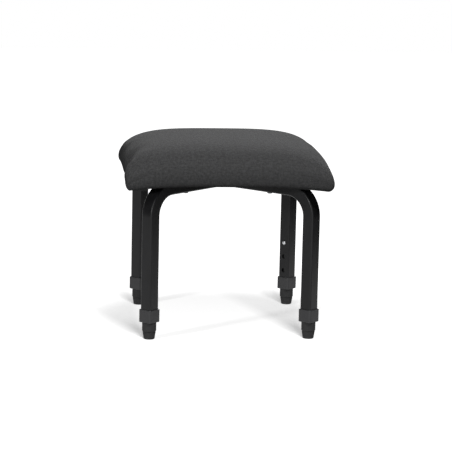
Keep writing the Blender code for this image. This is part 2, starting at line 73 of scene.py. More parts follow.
LEG_NAMES = ("front_left", "front_right", "rear_left", "rear_right")
SMOOTH_ANGLE = math.radians(35)
FIT_GAP = 0.0003  # between pieces that touch or slide on each other
CUT_OVERRUN = 0.001  # how far a cutter passes the face that it opens


def middle(node):
    low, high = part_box(node)
    return (low + high) / 2


def bottom(node):
    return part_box(node)[0].z


def top(node):
    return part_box(node)[1].z


LEG_AXES = {name: middle(f"leg_collar_{name}") for name in LEG_NAMES}
LEG_REACH = math.hypot(*LEG_AXES["front_left"].xy)
FRAME_TOP = top("frame_tube_through")
TUBE_END = bottom("frame_tube_through")


def length(name, description, default):
    return FloatProperty(name=name, description=description, default=default, min=0, precision=4, unit="LENGTH")


def colour(name, description, default):
    return FloatVectorProperty(
        name=name, description=description, default=default, min=0, max=1, subtype="COLOR", size=3
    )


class StoolSizes(bpy.types.PropertyGroup):
    """Sizes of the stool's pieces"""

    tube_side: length("Tube side", "Outer width of the square frame tube", 0.025)
    tube_wall: length("Tube wall", "Wall of the square frame tube", 0.002)
    tube_corner: length("Tube corner", "Outer corner radius of the frame tube", 0.003)
    bend_radius: length("Bend radius", "Radius of the tube's centreline in its bends", 0.050)
    hole_pitch: length("Hole pitch", "Distance between neighbouring button holes", 0.029)
    hole_count: IntProperty(name="Hole count", description="Button holes in each leg", default=3, min=1)
    hole_diameter: length("Hole diameter", "Diameter of the button holes", 0.0092)
    screw_reach: length("Screw reach", "Distance of the seat screws from the middle, along the arms", 0.116)
    screw_diameter: length("Screw diameter", "Shank of the seat screws", 0.006)
    screw_head: length("Screw head", "Diameter of the seat screws' heads", 0.011)
    screw_key: length("Screw key", "Width across flats of the seat screws' sockets", 0.004)
    weld_radius: length("Weld radius", "Half width of the weld bead at the crossing", 0.0021)
    collar_corner: length("Collar corner", "Corner radius of the collars", 0.004)
    collar_edge: length("Collar edge", "Chamfer of the collars' edges", 0.0012)
    foot_diameter: length("Foot diameter", "Straight upper part of the feet", 0.0273)
    foot_waist: length("Foot waist", "Diameter where the taper starts", 0.0252)
    foot_tip: length("Foot tip", "Diameter at the floor", 0.0215)
    leg_diameter: length("Leg diameter", "Outside of the sliding inner legs", 0.020)
    leg_wall: length("Leg wall", "Wall of the sliding inner legs", 0.0015)
    button_diameter: length("Button diameter", "Diameter of the snap buttons", 0.0078)
    button_proud: length("Button height", "How far a snap button stands out of the tube", 0.0025)
    spring_width: length("Spring width", "Width of the strip that carries a snap button", 0.007)
    spring_pad: length("Spring pad", "Height of the flat behind a snap button", 0.012)
    seat_width: length("Seat width", "Seat from side to side", 0.397)
    seat_depth: length("Seat depth", "Seat from front to back", 0.394)
    seat_draw_in: length("Seat draw-in", "How far the sides lie inside the corners", 0.0021)
    edge_round: length("Edge round", "Rounding of the seat's lower edge", 0.0107)
    corner_droop: length("Corner droop", "How far the gathered corners hang", 0.0075)
    edge_padding: length("Edge padding", "Padding outside the seat board", 0.016)
    hem_width: length("Hem width", "Cloth turned under the board", 0.030)
    cloth_thickness: length("Cloth thickness", "Thickness of the woven cover", 0.0015)
    yarn_pitch: length("Yarn pitch", "Distance between neighbouring yarns of the cover", 0.0011)
    staple_width: length("Staple width", "Crown of the staples", 0.010)


class StoolColours(bpy.types.PropertyGroup):
    """Colours of the stool's finishes"""

    cover: colour("Cover", "Woven seat cover", (0.070, 0.070, 0.071))
    coating: colour("Coating", "Powder coat of the frame", (0.012, 0.012, 0.013))
    collar: colour("Collar", "Moulded plastic of collars and plugs", (0.035, 0.035, 0.037))
    rubber: colour("Rubber", "Rubber of the feet", (0.049, 0.049, 0.050))
    steel: colour("Steel", "Bright plated steel", (0.62, 0.63, 0.65))
    screw: colour("Screw", "Blackened steel of the seat screws", (0.020, 0.020, 0.022))
    wood: colour("Wood", "Plywood of the seat board", (0.55, 0.38, 0.22))
    under_cloth: colour("Under cloth", "Bonded cloth under the seat", (0.012, 0.012, 0.013))
    floor: colour("Floor", "Pale studio floor", (0.9, 0.9, 0.9))


# Modelling helpers


def activate(obj):
    bpy.ops.object.select_all(action="DESELECT")
    obj.select_set(True)
    bpy.context.view_layer.objects.active = obj


def rename(obj, name):
    obj.name = name
    obj.data.name = name


@contextmanager
def editing(obj):
    activate(obj)
    bpy.ops.object.mode_set(mode="EDIT")
    yield
    bpy.ops.object.mode_set(mode="OBJECT")


def pick(obj, kind, wanted):
    """Selects the edges or faces that pass a test, in edit mode."""
    bpy.ops.mesh.select_mode(type=kind)
    bpy.ops.mesh.select_all(action="DESELECT")
    shape = bmesh.from_edit_mesh(obj.data)
    for item in shape.edges if kind == "EDGE" else shape.faces:
        if wanted(item):
            item.select_set(True)
    bmesh.update_edit_mesh(obj.data)


def along(edge, axis):
    """True for an edge that runs along the axis with this number."""
    way = (edge.verts[1].co - edge.verts[0].co).normalized()
    return abs(way[axis]) > 0.999


def looks_along(face, axis, side=1):
    """True for a face that looks along the axis with this number, or against it where side is -1."""
    return face.normal[axis] * side > 0.99


def extrude(step):
    """Extrudes what is selected in edit mode."""
    bpy.ops.mesh.extrude_region_move(TRANSFORM_OT_translate={"value": step})


def modify(obj, kind, **settings):
    """Adds a modifier and applies it."""
    activate(obj)
    modifier = obj.modifiers.new(kind.title(), kind)
    for name, value in settings.items():
        setattr(modifier, name, value)
    bpy.ops.object.modifier_apply(modifier=modifier.name)


def tidy_mesh(obj):
    """Merges doubled points and turns every face outwards."""
    with editing(obj):
        bpy.ops.mesh.select_all(action="SELECT")
        bpy.ops.mesh.remove_doubles(threshold=1e-6)
        bpy.ops.mesh.normals_make_consistent(inside=False)


def add_primitive(operator, name, **settings):
    """What a primitive's operator adds, to shape further, with its place in its mesh."""
    bpy.ops.object.select_all(action="DESELECT")
    operator(**settings)
    bpy.ops.object.transform_apply(location=True, rotation=True, scale=True)
    obj = bpy.context.object
    rename(obj, name)
    return obj


def add_block(name, low, high):
    """A plain box between two corners."""
    low, high = Vector(low), Vector(high)
    middle_of, size = (low + high) / 2, high - low
    return add_primitive(bpy.ops.mesh.primitive_cube_add, name, size=1, location=middle_of, scale=size)


def add_cutter(radius, start, end, sides=48):
    """A round rod from start to end, to cut with."""
    start, end = Vector(start), Vector(end)
    way = end - start
    turn = way.to_track_quat("Z", "Y").to_euler()
    shape = {"vertices": sides, "radius": radius, "depth": way.length}
    return add_primitive(
        bpy.ops.mesh.primitive_cylinder_add, "cutter", **shape, location=(start + end) / 2, rotation=turn
    )


def join(objects):
    activate(objects[0])
    for obj in objects:
        obj.select_set(True)
    if len(objects) > 1:
        bpy.ops.object.join()
    return objects[0]


def cut(obj, cutters):
    """Cuts shapes that don't touch each other out of a piece."""
    cutter = join(cutters)
    modify(obj, "BOOLEAN", operation="DIFFERENCE", solver="EXACT", object=cutter)
    bpy.data.objects.remove(cutter)


def draw_line(name, points):
    """A chain of edges through the points, drawn by extruding a single point."""
    obj = add_primitive(bpy.ops.mesh.primitive_plane_add, name, size=0.001, location=points[0])
    with editing(obj):
        bpy.ops.mesh.select_mode(type="VERT")
        bpy.ops.mesh.select_all(action="SELECT")
        bpy.ops.mesh.merge(type="CENTER")
        for here, there in zip(points, points[1:]):
            step = tuple(b - a for a, b in zip(here, there))
            bpy.ops.mesh.extrude_vertices_move(TRANSFORM_OT_translate={"value": step})
    return obj


def turn_profile(name, profile, sides=64):
    """A shape turned about Z from a chain of (radius, height) points."""
    obj = draw_line(name, [(radius, 0, height) for radius, height in profile])
    with editing(obj):
        bpy.ops.mesh.select_all(action="SELECT")
        bpy.ops.mesh.spin(steps=sides, angle=2 * math.pi, center=(0, 0, 0), axis=(0, 0, 1))
    tidy_mesh(obj)
    return obj


def add_grid(name, cells):
    """A flat square of cells, from -1 to 1 both ways."""
    return add_primitive(bpy.ops.mesh.primitive_grid_add, name, x_subdivisions=cells, y_subdivisions=cells, size=2)


def arc(centre, radius, start, end, steps, height=None):
    """Points of a round edge from one angle in degrees to another, on an oval if a height is given."""
    angles = [math.radians(start + (end - start) * step / steps) for step in range(steps + 1)]
    return [(centre[0] + radius * math.cos(a), centre[1] + (height or radius) * math.sin(a)) for a in angles]


def smooth(obj, angle=SMOOTH_ANGLE):
    activate(obj)
    bpy.ops.object.shade_smooth_by_angle(angle=angle)


def shade(obj):
    """Shades the flats flat and the rounds round."""
    smooth(obj)
    modify(obj, "WEIGHTED_NORMAL", keep_sharp=True, weight=80)


def soften(obj, width):
    """Breaks the sharp edges of a piece and shades it."""
    modify(obj, "BEVEL", width=width, segments=2, limit_method="ANGLE", angle_limit=math.radians(40))
    shade(obj)


def place(obj, matrix):
    """Moves a piece's mesh and leaves its object at the origin."""
    obj.matrix_world = matrix
    activate(obj)
    bpy.ops.object.transform_apply(location=True, rotation=True, scale=True)


def copy_piece(pattern, name, matrix):
    """A copy of a piece with its own mesh, put in its place."""
    obj = pattern.copy()
    obj.data = pattern.data.copy()
    rename(obj, name)
    bpy.context.scene.collection.objects.link(obj)
    place(obj, matrix)
    return obj


def leg_place(name):
    """From a leg's own frame, upright on its axis with +X towards the middle, to the stool's."""
    axis = LEG_AXES[name]
    turn = Matrix.Rotation(math.atan2(-axis.y, -axis.x), 4, "Z")
    return Matrix.Translation((axis.x, axis.y, 0)) @ turn


LEG_PLACES = {name: leg_place(name) for name in LEG_NAMES}
ARM_PLACES = {
    "front_right": Matrix.Rotation(-math.pi / 4, 4, "Z"),
    "rear_left": Matrix.Rotation(3 * math.pi / 4, 4, "Z"),
}


def dress(obj, material):
    """Gives an object one material in place of those it has."""
    obj.data.materials.clear()
    obj.data.materials.append(material)


def fit_out(obj, material, body, slot, *nodes):
    """Gives a finished piece its material and the body it rides on, and hides the nodes it stands for. The slot is not
    used.
    """
    dress(obj, material)
    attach(obj, body)
    if nodes:
        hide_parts(*nodes)


def copy_out(pattern, piece, places, material, body, slot, node=None):
    """Copies a pattern to its named places and fits the copies out, each for the node of its own name."""
    for name, matrix in places.items():
        obj = copy_piece(pattern, f"{piece}_{name}", matrix)
        fit_out(obj, material, body.format(name), slot, *([f"{node}_{name}"] if node else []))
    bpy.data.objects.remove(pattern)


# Finishes


class Field:
    """A socket in a material. Arithmetic on fields adds the Math nodes for it."""

    def __init__(self, tree, socket=None):
        self.tree = tree
        self.socket = socket

    def node(self, kind, settings=None, values=None, output=0):
        """Adds a node with its settings, then the values or links of its sockets, and returns an output."""
        made = self.tree.nodes.new(kind)
        for name, value in (settings or {}).items():
            setattr(made, name, value)
        for name, value in (values or {}).items():
            if isinstance(value, Field):
                self.tree.links.new(value.socket, made.inputs[name])
            else:
                made.inputs[name].default_value = value
        return Field(self.tree, made.outputs[output])

    def maths(self, operation, *operands):
        return self.node("ShaderNodeMath", {"operation": operation}, dict(enumerate(operands)))

    def __add__(self, other):
        return self.maths("ADD", self, other)

    def __sub__(self, other):
        return self.maths("SUBTRACT", self, other)

    def __rsub__(self, other):
        return self.maths("SUBTRACT", other, self)

    def __mul__(self, other):
        return self.maths("MULTIPLY", self, other)

    def __truediv__(self, other):
        return self.maths("DIVIDE", self, other)

    __radd__ = __add__
    __rmul__ = __mul__

    def floor(self):
        return self.maths("FLOOR", self)

    def fraction(self):
        return self.maths("FRACT", self)

    def larger(self, other):
        return self.maths("MAXIMUM", self, other)

    def arch(self):
        """A round hump in each whole step."""
        part = self.fraction()
        return part * (1 - part) * 4

    def above(self, low, high):
        """0 under low, 1 over high and smooth between them."""
        settings = {"interpolation_type": "SMOOTHSTEP"}
        return self.node("ShaderNodeMapRange", settings, {"Value": self, "From Min": low, "From Max": high})

    def between(self, first, second):
        """A colour between two, by this share."""
        values = {0: self, 6: first, 7: second}
        return self.node("ShaderNodeMix", {"data_type": "RGBA"}, values, output=2)

    def shades(self, rgb, first, second):
        """A colour between two shades of one, by this share."""
        return self.between(tone(rgb, first), tone(rgb, second))

    def mixed(self, first, second):
        """A shader between two, by this share."""
        return self.node("ShaderNodeMixShader", values={0: self, 1: first, 2: second})

    def axes(self):
        """The three parts of a vector."""
        split = self.node("ShaderNodeSeparateXYZ", values={0: self})
        return [Field(self.tree, socket) for socket in split.socket.node.outputs]

    def scaled(self, x, y, z):
        """A vector stretched along its axes."""
        return self.node("ShaderNodeMapping", values={"Vector": self, "Scale": (x, y, z)})

    def noise(self, scale, detail=2.0, roughness=0.5):
        values = {"Vector": self, "Scale": scale, "Detail": detail, "Roughness": roughness}
        return self.node("ShaderNodeTexNoise", values=values)

    def chance(self, other=0.0):
        """A number from 0 to 1 for each pair of values."""
        pair = self.node("ShaderNodeCombineXYZ", values={"X": self, "Y": other})
        return self.node("ShaderNodeTexWhiteNoise", {"noise_dimensions": "2D"}, {"Vector": pair})

    def bump(self, strength, distance):
        return self.node("ShaderNodeBump", values={"Height": self, "Strength": strength, "Distance": distance})


def tone(rgb, factor=1.0):
    """A colour made lighter or darker, for a socket."""
    return (*(min(1.0, part * factor) for part in rgb), 1.0)


def new_finish(name, **constants):
    """A material, its main shader and a field to start from. The constants go on the shader's own sockets."""
    material = bpy.data.materials.new(name)
    material.use_nodes = True
    shader = material.node_tree.nodes["Principled BSDF"]
    for socket, value in constants.items():
        shader.inputs[socket.replace("_", " ")].default_value = value
    return material, shader, Field(material.node_tree)


def feed(shader, **fields):
    """Links what changes over the surface to the shader."""
    for socket, field in fields.items():
        field.tree.links.new(field.socket, shader.inputs[socket.replace("_", " ")])


def object_place(start):
    return start.node("ShaderNodeTexCoord", output="Object")


def woven_finish(colours):
    """Charcoal plain weave: yarns over and under each other, each a little lighter or darker, with slubs."""
    material, shader, start = new_finish(
        "charcoal_weave", Sheen_Weight=0.04, Sheen_Roughness=0.5, Specular_IOR_Level=0.0
    )
    pitch = bpy.context.scene.stool_sizes.yarn_pitch
    flat = start.node("ShaderNodeUVMap", {"uv_map": "cloth"})
    across, down, _ = flat.axes()
    wander = flat.noise(12.0, 1.0) * pitch
    warp = (across + wander) / pitch
    weft = (down + wander) / pitch
    over = ((warp.floor() + weft.floor()) / 2).fraction() * 2
    under = 1 - over
    warp_round = warp.arch()
    weft_round = weft.arch()
    height = over * warp_round * (weft_round * 0.4 + 0.6) + under * weft_round * (warp_round * 0.4 + 0.6)
    yarn = over * warp.floor().chance(3.0) + under * weft.floor().chance(7.0)
    slub = over * flat.scaled(600, 110, 1).noise(1.0, 1.0) + under * flat.scaled(110, 600, 1).noise(1.0, 1.0)
    mottle = flat.noise(190.0, 3.0, 0.6)
    lightness = yarn * 0.06 + slub * 0.50 + mottle * 0.44
    lit = lightness.above(0.28, 0.72).shades(colours.cover, 0.62, 1.40)
    # Painted shade: where the yarns dip into the gaps between them, the colour falls to half the cover's own.
    shaded = height.above(0.05, 0.55).between(tone(colours.cover, 0.5), lit)
    feed(shader, Base_Color=shaded, Roughness=0.97 - slub * 0.12, Normal=height.bump(0.35, 0.0003))
    return material


def coating_finish(colours):
    """Satin black powder coat with its fine orange peel."""
    material, shader, start = new_finish("satin_black_coat", Specular_IOR_Level=0.27)
    place_on = object_place(start)
    peel = place_on.noise(900.0, 2.0)
    cloud = place_on.noise(28.0, 3.0)
    feed(
        shader,
        Base_Color=cloud.above(0.3, 0.7).shades(colours.coating, 0.85, 1.2),
        Roughness=0.28 + cloud * 0.08 + peel * 0.06,
        Normal=peel.bump(0.10, 0.0003),
    )
    return material


def plastic_finish(colours):
    """Moulded plastic with a fine spark-eroded grain."""
    material, shader, start = new_finish("collar_grain", Specular_IOR_Level=0.5)
    place_on = object_place(start)
    grain = place_on.noise(1900.0, 2.0)
    cloud = place_on.noise(60.0, 2.0)
    feed(
        shader,
        Base_Color=cloud.shades(colours.collar, 0.88, 1.14),
        Roughness=0.42 + grain * 0.16,
        Normal=grain.bump(0.16, 0.0002),
    )
    return material


def rubber_finish(colours):
    """Dull rubber, a little dusty towards the floor."""
    material, shader, start = new_finish("foot_rubber_dull", Specular_IOR_Level=0.3)
    place_on = object_place(start)
    height = place_on.axes()[2]
    pores = place_on.noise(1400.0, 3.0)
    dust = (1 - height.above(0.0, 0.006)) * place_on.noise(160.0, 3.0).above(0.4, 0.75) * 0.5
    feed(
        shader,
        Base_Color=dust.between(pores.shades(colours.rubber, 0.85, 1.2), tone(colours.rubber, 2.6)),
        Roughness=0.68 + pores * 0.18,
        Normal=pores.bump(0.12, 0.0002),
    )
    return material


def steel_finish(colours):
    """Bright plated steel with faint drawing marks."""
    material, shader, start = new_finish("plated_steel", Metallic=1.0)
    place_on = object_place(start)
    marks = place_on.scaled(2600, 2600, 60).noise(1.0, 2.0)
    cloud = place_on.noise(120.0, 2.0)
    feed(
        shader,
        Base_Color=cloud.shades(colours.steel, 0.86, 1.05),
        Roughness=0.18 + marks * 0.16 + cloud * 0.06,
        Normal=marks.bump(0.06, 0.0001),
    )
    return material


def screw_finish(colours):
    """Blackened steel, rubbed bright in small spots."""
    material, shader, start = new_finish("blackened_screw", Metallic=0.6)
    cloud = object_place(start).noise(700.0, 3.0)
    feed(
        shader,
        Base_Color=cloud.above(0.45, 0.8).shades(colours.screw, 1.0, 2.2),
        Roughness=0.36 + cloud * 0.16,
        Normal=cloud.bump(0.08, 0.0001),
    )
    return material


def plywood_finish(colours):
    """Plywood: long grain on the faces and plies on the edge."""
    material, shader, start = new_finish("plywood_grain", Specular_IOR_Level=0.3)
    place_on = object_place(start)
    plies = (place_on.axes()[2] / 0.0015).fraction().above(0.42, 0.58)
    grain = place_on.scaled(9, 170, 400).noise(1.0, 4.0, 0.65)
    face = grain.above(0.3, 0.75).shades(colours.wood, 1.1, 0.68)
    feed(
        shader,
        Base_Color=(plies * 0.35).between(face, tone(colours.wood, 0.6)),
        Roughness=0.62 + grain * 0.2,
        Normal=grain.bump(0.2, 0.0004),
    )
    return material


def bonded_finish(colours):
    """Thin bonded cloth: matted fibres pressed together in small dots."""
    material, shader, start = new_finish("bonded_under_cloth", Specular_IOR_Level=0.2)
    place_on = object_place(start)
    fibres = place_on.scaled(1, 1, 0.1).noise(1500.0, 4.0, 0.7)
    dot_values = {"Vector": place_on.scaled(1, 1, 0), "Scale": 420.0, "Randomness": 0.15}
    dots = start.node("ShaderNodeTexVoronoi", {"voronoi_dimensions": "2D"}, dot_values).above(0.12, 0.3)
    feed(
        shader,
        Base_Color=fibres.above(0.3, 0.7).shades(colours.under_cloth, 0.7, 1.9),
        Roughness=0.96 - (1 - dots) * 0.3,
        Normal=(dots * 0.7 + fibres * 0.3).bump(0.4, 0.0003),
    )
    return material


FINISH_MAKERS = {
    "woven": woven_finish,
    "coating": coating_finish,
    "plastic": plastic_finish,
    "rubber": rubber_finish,
    "steel": steel_finish,
    "screw": screw_finish,
    "plywood": plywood_finish,
    "bonded": bonded_finish,
}
made_finishes = {}


def finish(name):
    """The finish of that name, made at its first use."""
    if name not in made_finishes:
        made_finishes[name] = FINISH_MAKERS[name](bpy.context.scene.stool_colours)
    return made_finishes[name]


# Frame

BEND_STEPS = 24
CORNER_STEPS = 6
TUBE_BURR = 0.0003  # rounding of a tube's cut edges


def arm_height(sizes):
    return FRAME_TOP - sizes.tube_side / 2


def button_height(sizes):
    return bottom("snap_button_front_left") + sizes.spring_pad / 2


def bent_tube(name, start, end, bent_ends, sizes):
    """A square tube along X whose given ends bend down into legs, with its wall and its holes."""
    half = sizes.tube_side / 2
    bend_start = arm_height(sizes) - sizes.bend_radius
    reach = LEG_REACH - sizes.bend_radius
    obj = add_block(name, (start, -half, FRAME_TOP - sizes.tube_side), (end, half, FRAME_TOP))
    with editing(obj):
        pick(obj, "EDGE", lambda edge: along(edge, 0))
        bpy.ops.mesh.bevel(offset=sizes.tube_corner, segments=CORNER_STEPS, affect="EDGES")
        for side in bent_ends:
            pick(obj, "FACE", lambda face: looks_along(face, 0, side) and face.calc_center_median().x * side > 0)
            bpy.ops.mesh.spin(
                steps=BEND_STEPS, angle=math.pi / 2, center=(side * reach, 0, bend_start), axis=(0, -side, 0)
            )
            extrude((0, 0, TUBE_END - bend_start))
        pick(obj, "FACE", lambda face: is_open_end(face, start, bent_ends))
        bpy.ops.mesh.delete(type="FACE")
    tidy_mesh(obj)
    modify(obj, "SOLIDIFY", thickness=sizes.tube_wall, offset=-1, use_even_offset=True)
    cut(obj, [rod for side in bent_ends for rod in leg_cutters(side, sizes)])
    soften(obj, TUBE_BURR)
    return obj


def is_open_end(face, start, bent_ends):
    """True for a cut end of a tube: the leg ends, and the inner end of an arm that bends at one end only."""
    near = 1e-5
    centre = face.calc_center_median()
    at_leg = centre.z < TUBE_END + near
    at_weld = -1 not in bent_ends and centre.x < start + near
    return at_leg or at_weld


def leg_cutters(side, sizes):
    """Rods that cut the button holes of the leg at this end, and the seat screw's hole in the arm."""
    face = LEG_REACH - sizes.tube_side / 2
    near, far = side * (face - CUT_OVERRUN), side * (face + sizes.tube_wall + CUT_OVERRUN)
    rods = []
    for hole in range(sizes.hole_count):
        height = button_height(sizes) - hole * sizes.hole_pitch
        rods.append(add_cutter(sizes.hole_diameter / 2, (near, 0, height), (far, 0, height)))
    at = side * sizes.screw_reach
    low, high = FRAME_TOP - sizes.tube_side - CUT_OVERRUN, FRAME_TOP + CUT_OVERRUN
    rods.append(add_cutter(sizes.screw_diameter / 2 + FIT_GAP, (at, 0, low), (at, 0, high)))
    return rods


class STOOL_OT_frame(bpy.types.Operator):
    """Bends the through tube and the two arms of the crossed frame"""

    bl_idname = "stool.frame"
    bl_label = "Frame tubes"

    def execute(self, context):
        sizes = context.scene.stool_sizes
        reach = LEG_REACH - sizes.bend_radius
        tube = bent_tube("tube_through", -reach, reach, (-1, 1), sizes)
        place(tube, Matrix.Rotation(math.pi / 4, 4, "Z"))
        fit_out(tube, finish("coating"), "frame", "frame_paint", "frame_tube_through")
        arm = bent_tube("arm", sizes.tube_side / 2 + FIT_GAP, reach, (1,), sizes)
        copy_out(arm, "arm", ARM_PLACES, finish("coating"), "frame", "frame_paint", "frame_arm")
        return {"FINISHED"}


WELD_STEP = 0.0007  # between points of the bead
WELD_RIPPLE = 0.0021  # length of a ripple
WELD_LIFT = 0.0002  # of the bead's middle from the faces it joins
WELD_TOP_GAP = 0.0012  # between the bead's ends and the arm's upper rounding
WELD_TAPER = 0.004  # length over which the ends swell to full width
WELD_END = 0.45  # share of the width at the ends
WELD_VALLEY, WELD_CREST = 0.9, 0.14  # share of the width between ripples, and what a ripple adds


def weld_path(sizes):
    """Points of the bead down one side of an arm's end, under it and up the other side."""
    half = sizes.tube_side / 2 + WELD_LIFT
    corner = sizes.tube_corner
    low, high = arm_height(sizes) - half + corner, arm_height(sizes) + half - corner - WELD_TOP_GAP
    points = [(-half, high), *arc((corner - half, low), corner, 180, 270, CORNER_STEPS)]
    points += [*arc((half - corner, low), corner, -90, 0, CORNER_STEPS), (half, high)]
    points = np.array(points)
    lengths = np.concatenate([[0], np.cumsum(np.linalg.norm(np.diff(points, axis=0), axis=1))])
    steps = np.arange(0, lengths[-1], WELD_STEP)
    return steps, np.interp(steps, lengths, points[:, 0]), np.interp(steps, lengths, points[:, 1])


class STOOL_OT_welds(bpy.types.Operator):
    """Lays the rippled weld beads where the arms meet the through tube"""

    bl_idname = "stool.welds"
    bl_label = "Weld beads"

    def execute(self, context):
        sizes = context.scene.stool_sizes
        steps, across, heights = weld_path(sizes)
        line = bpy.data.curves.new("weld", "CURVE")
        line.dimensions = "3D"
        line.bevel_depth = sizes.weld_radius
        line.bevel_resolution = 3
        line.use_fill_caps = True
        spline = line.splines.new("POLY")
        spline.points.add(len(steps) - 1)
        for point, step, y, z in zip(spline.points, steps, across, heights):
            point.co = (sizes.tube_side / 2 + WELD_LIFT, y, z, 1)
            taper = min(1.0, WELD_END + min(step, steps[-1] - step) / WELD_TAPER)
            ripple = abs(math.sin(math.pi * step / WELD_RIPPLE))
            point.radius = taper * (WELD_VALLEY + WELD_CREST * ripple)
        bead = bpy.data.objects.new("weld", line)
        context.scene.collection.objects.link(bead)
        activate(bead)
        bpy.ops.object.convert(target="MESH")
        bead = context.object
        tidy_mesh(bead)
        shade(bead)
        copy_out(bead, "weld", ARM_PLACES, finish("coating"), "frame", "frame_paint")
        return {"FINISHED"}


# Legs

EDGE_BURR = 0.0002  # rounding of the edges that moulding and cutting leave
LEG_END_ROUND = 0.0004


class STOOL_OT_collars(bpy.types.Operator):
    """Moulds the square collar on the end of each frame leg"""

    bl_idname = "stool.collars"
    bl_label = "Collars"

    def execute(self, context):
        sizes = context.scene.stool_sizes
        low, high = top("rubber_foot_front_left") + FIT_GAP, top("leg_collar_front_left")
        half = self.half_side(sizes)
        rim = half - sizes.collar_edge - sizes.tube_side / 2 - FIT_GAP
        obj = add_block("collar", (-half, -half, low), (half, half, high))
        with editing(obj):
            pick(obj, "EDGE", lambda edge: along(edge, 2))
            bpy.ops.mesh.bevel(offset=sizes.collar_corner, segments=CORNER_STEPS, affect="EDGES")
            pick(obj, "EDGE", lambda edge: edge.verts[0].co.z == edge.verts[1].co.z)
            bpy.ops.mesh.bevel(offset=sizes.collar_edge, segments=3, affect="EDGES")
            pick(obj, "FACE", lambda face: looks_along(face, 2))
            bpy.ops.mesh.inset(thickness=rim)
            extrude((0, 0, TUBE_END - FIT_GAP - high))
        tidy_mesh(obj)
        hole = sizes.leg_diameter / 2 + FIT_GAP
        cut(obj, [add_cutter(hole, (0, 0, low - CUT_OVERRUN), (0, 0, TUBE_END + CUT_OVERRUN), 64)])
        soften(obj, EDGE_BURR)
        copy_out(obj, "collar", LEG_PLACES, finish("plastic"), "frame", "collar_plastic", "leg_collar")
        return {"FINISHED"}

    def half_side(self, sizes):
        """Half the collar's width, from the corner-on box of the solid and its corner radius."""
        low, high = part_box("leg_collar_front_left")
        across = high.x - low.x
        return (across / 2 + (math.sqrt(2) - 1) * sizes.collar_corner) / math.sqrt(2)


# The ring in a foot's underside: share of the tip's radius, and depth
FOOT_TREAD = ((0, 0), (0.45, 0), (0.50, 0.0004), (0.60, 0.0004), (0.65, 0))
FOOT_GROOVE = (0.0136, 0.0146)  # heights of its two edges
FOOT_GROOVE_DEPTH = 0.0009
FOOT_SHOULDER = 0.0168  # height where the straight part starts
FOOT_FLOOR = 0.008  # bottom of the socket
# Roundings of the edges at the sole, under and over the groove, at the shoulder and at the rim
SOLE_ROUND, UNDER_ROUND, OVER_ROUND, SHOULDER_ROUND, RIM_ROUND = 0.0015, 0.0004, 0.0003, 0.0008, 0.0007
RIM_CHAMFER = 0.0004


class STOOL_OT_feet(bpy.types.Operator):
    """Turns the grooved rubber feet"""

    bl_idname = "stool.feet"
    bl_label = "Feet"

    def execute(self, context):
        sizes = context.scene.stool_sizes
        high = top("rubber_foot_front_left")
        radius, waist, tip = sizes.foot_diameter / 2, sizes.foot_waist / 2, sizes.foot_tip / 2
        groove = waist - FOOT_GROOVE_DEPTH
        groove_low, groove_high = FOOT_GROOVE
        socket = sizes.leg_diameter / 2 + FIT_GAP
        profile = [(tip * share, depth) for share, depth in FOOT_TREAD]
        profile += arc((tip - SOLE_ROUND, SOLE_ROUND), SOLE_ROUND, -90, 0, 5)
        profile += arc((waist - UNDER_ROUND, groove_low - UNDER_ROUND), UNDER_ROUND, 5, 90, 3)
        profile += [(groove, groove_low), (groove, groove_high)]
        profile += arc((waist - OVER_ROUND, groove_high + OVER_ROUND), OVER_ROUND, -90, -20, 3)
        profile += arc((radius - SHOULDER_ROUND, FOOT_SHOULDER), SHOULDER_ROUND, -35, 0, 3)
        profile += arc((radius - RIM_ROUND, high - RIM_ROUND), RIM_ROUND, 0, 90, 4)
        profile += [(socket + RIM_CHAMFER, high), (socket, high - RIM_CHAMFER), (socket, FOOT_FLOOR), (0, FOOT_FLOOR)]
        obj = turn_profile("foot", profile)
        shade(obj)
        copy_out(obj, "foot", LEG_PLACES, finish("rubber"), "leg_{}", "foot_rubber", "rubber_foot")
        return {"FINISHED"}


class STOOL_OT_inner_legs(bpy.types.Operator):
    """Draws the round inner legs that slide in the frame"""

    bl_idname = "stool.inner_legs"
    bl_label = "Inner legs"

    def execute(self, context):
        sizes = context.scene.stool_sizes
        low, high = bottom("inner_leg_front_left"), top("inner_leg_front_left")
        outer = sizes.leg_diameter / 2
        inner = outer - sizes.leg_wall
        edge = LEG_END_ROUND
        profile = [(inner, low), *arc((outer - edge, low + edge), edge, -90, 0, 3)]
        profile += [*arc((outer - edge, high - edge), edge, 0, 90, 3), (inner, high), (inner, low)]
        obj = turn_profile("inner_leg", profile)
        hole, height = sizes.button_diameter / 2 + FIT_GAP, button_height(sizes)
        cut(obj, [add_cutter(hole, (inner / 2, 0, height), (outer + CUT_OVERRUN, 0, height))])
        soften(obj, EDGE_BURR)
        copy_out(obj, "sliding_leg", LEG_PLACES, finish("coating"), "leg_{}", "frame_paint", "inner_leg")
        return {"FINISHED"}


BUTTON_DOME = 0.002
SPRING_THICKNESS = 0.0006
SPRING_GAP = 0.0006  # between the strip's edges and the inner leg's bore
SPRING_RISE = 0.033  # from the button's axis to the middle of the strip's bend
SPRING_BEND = 0.003


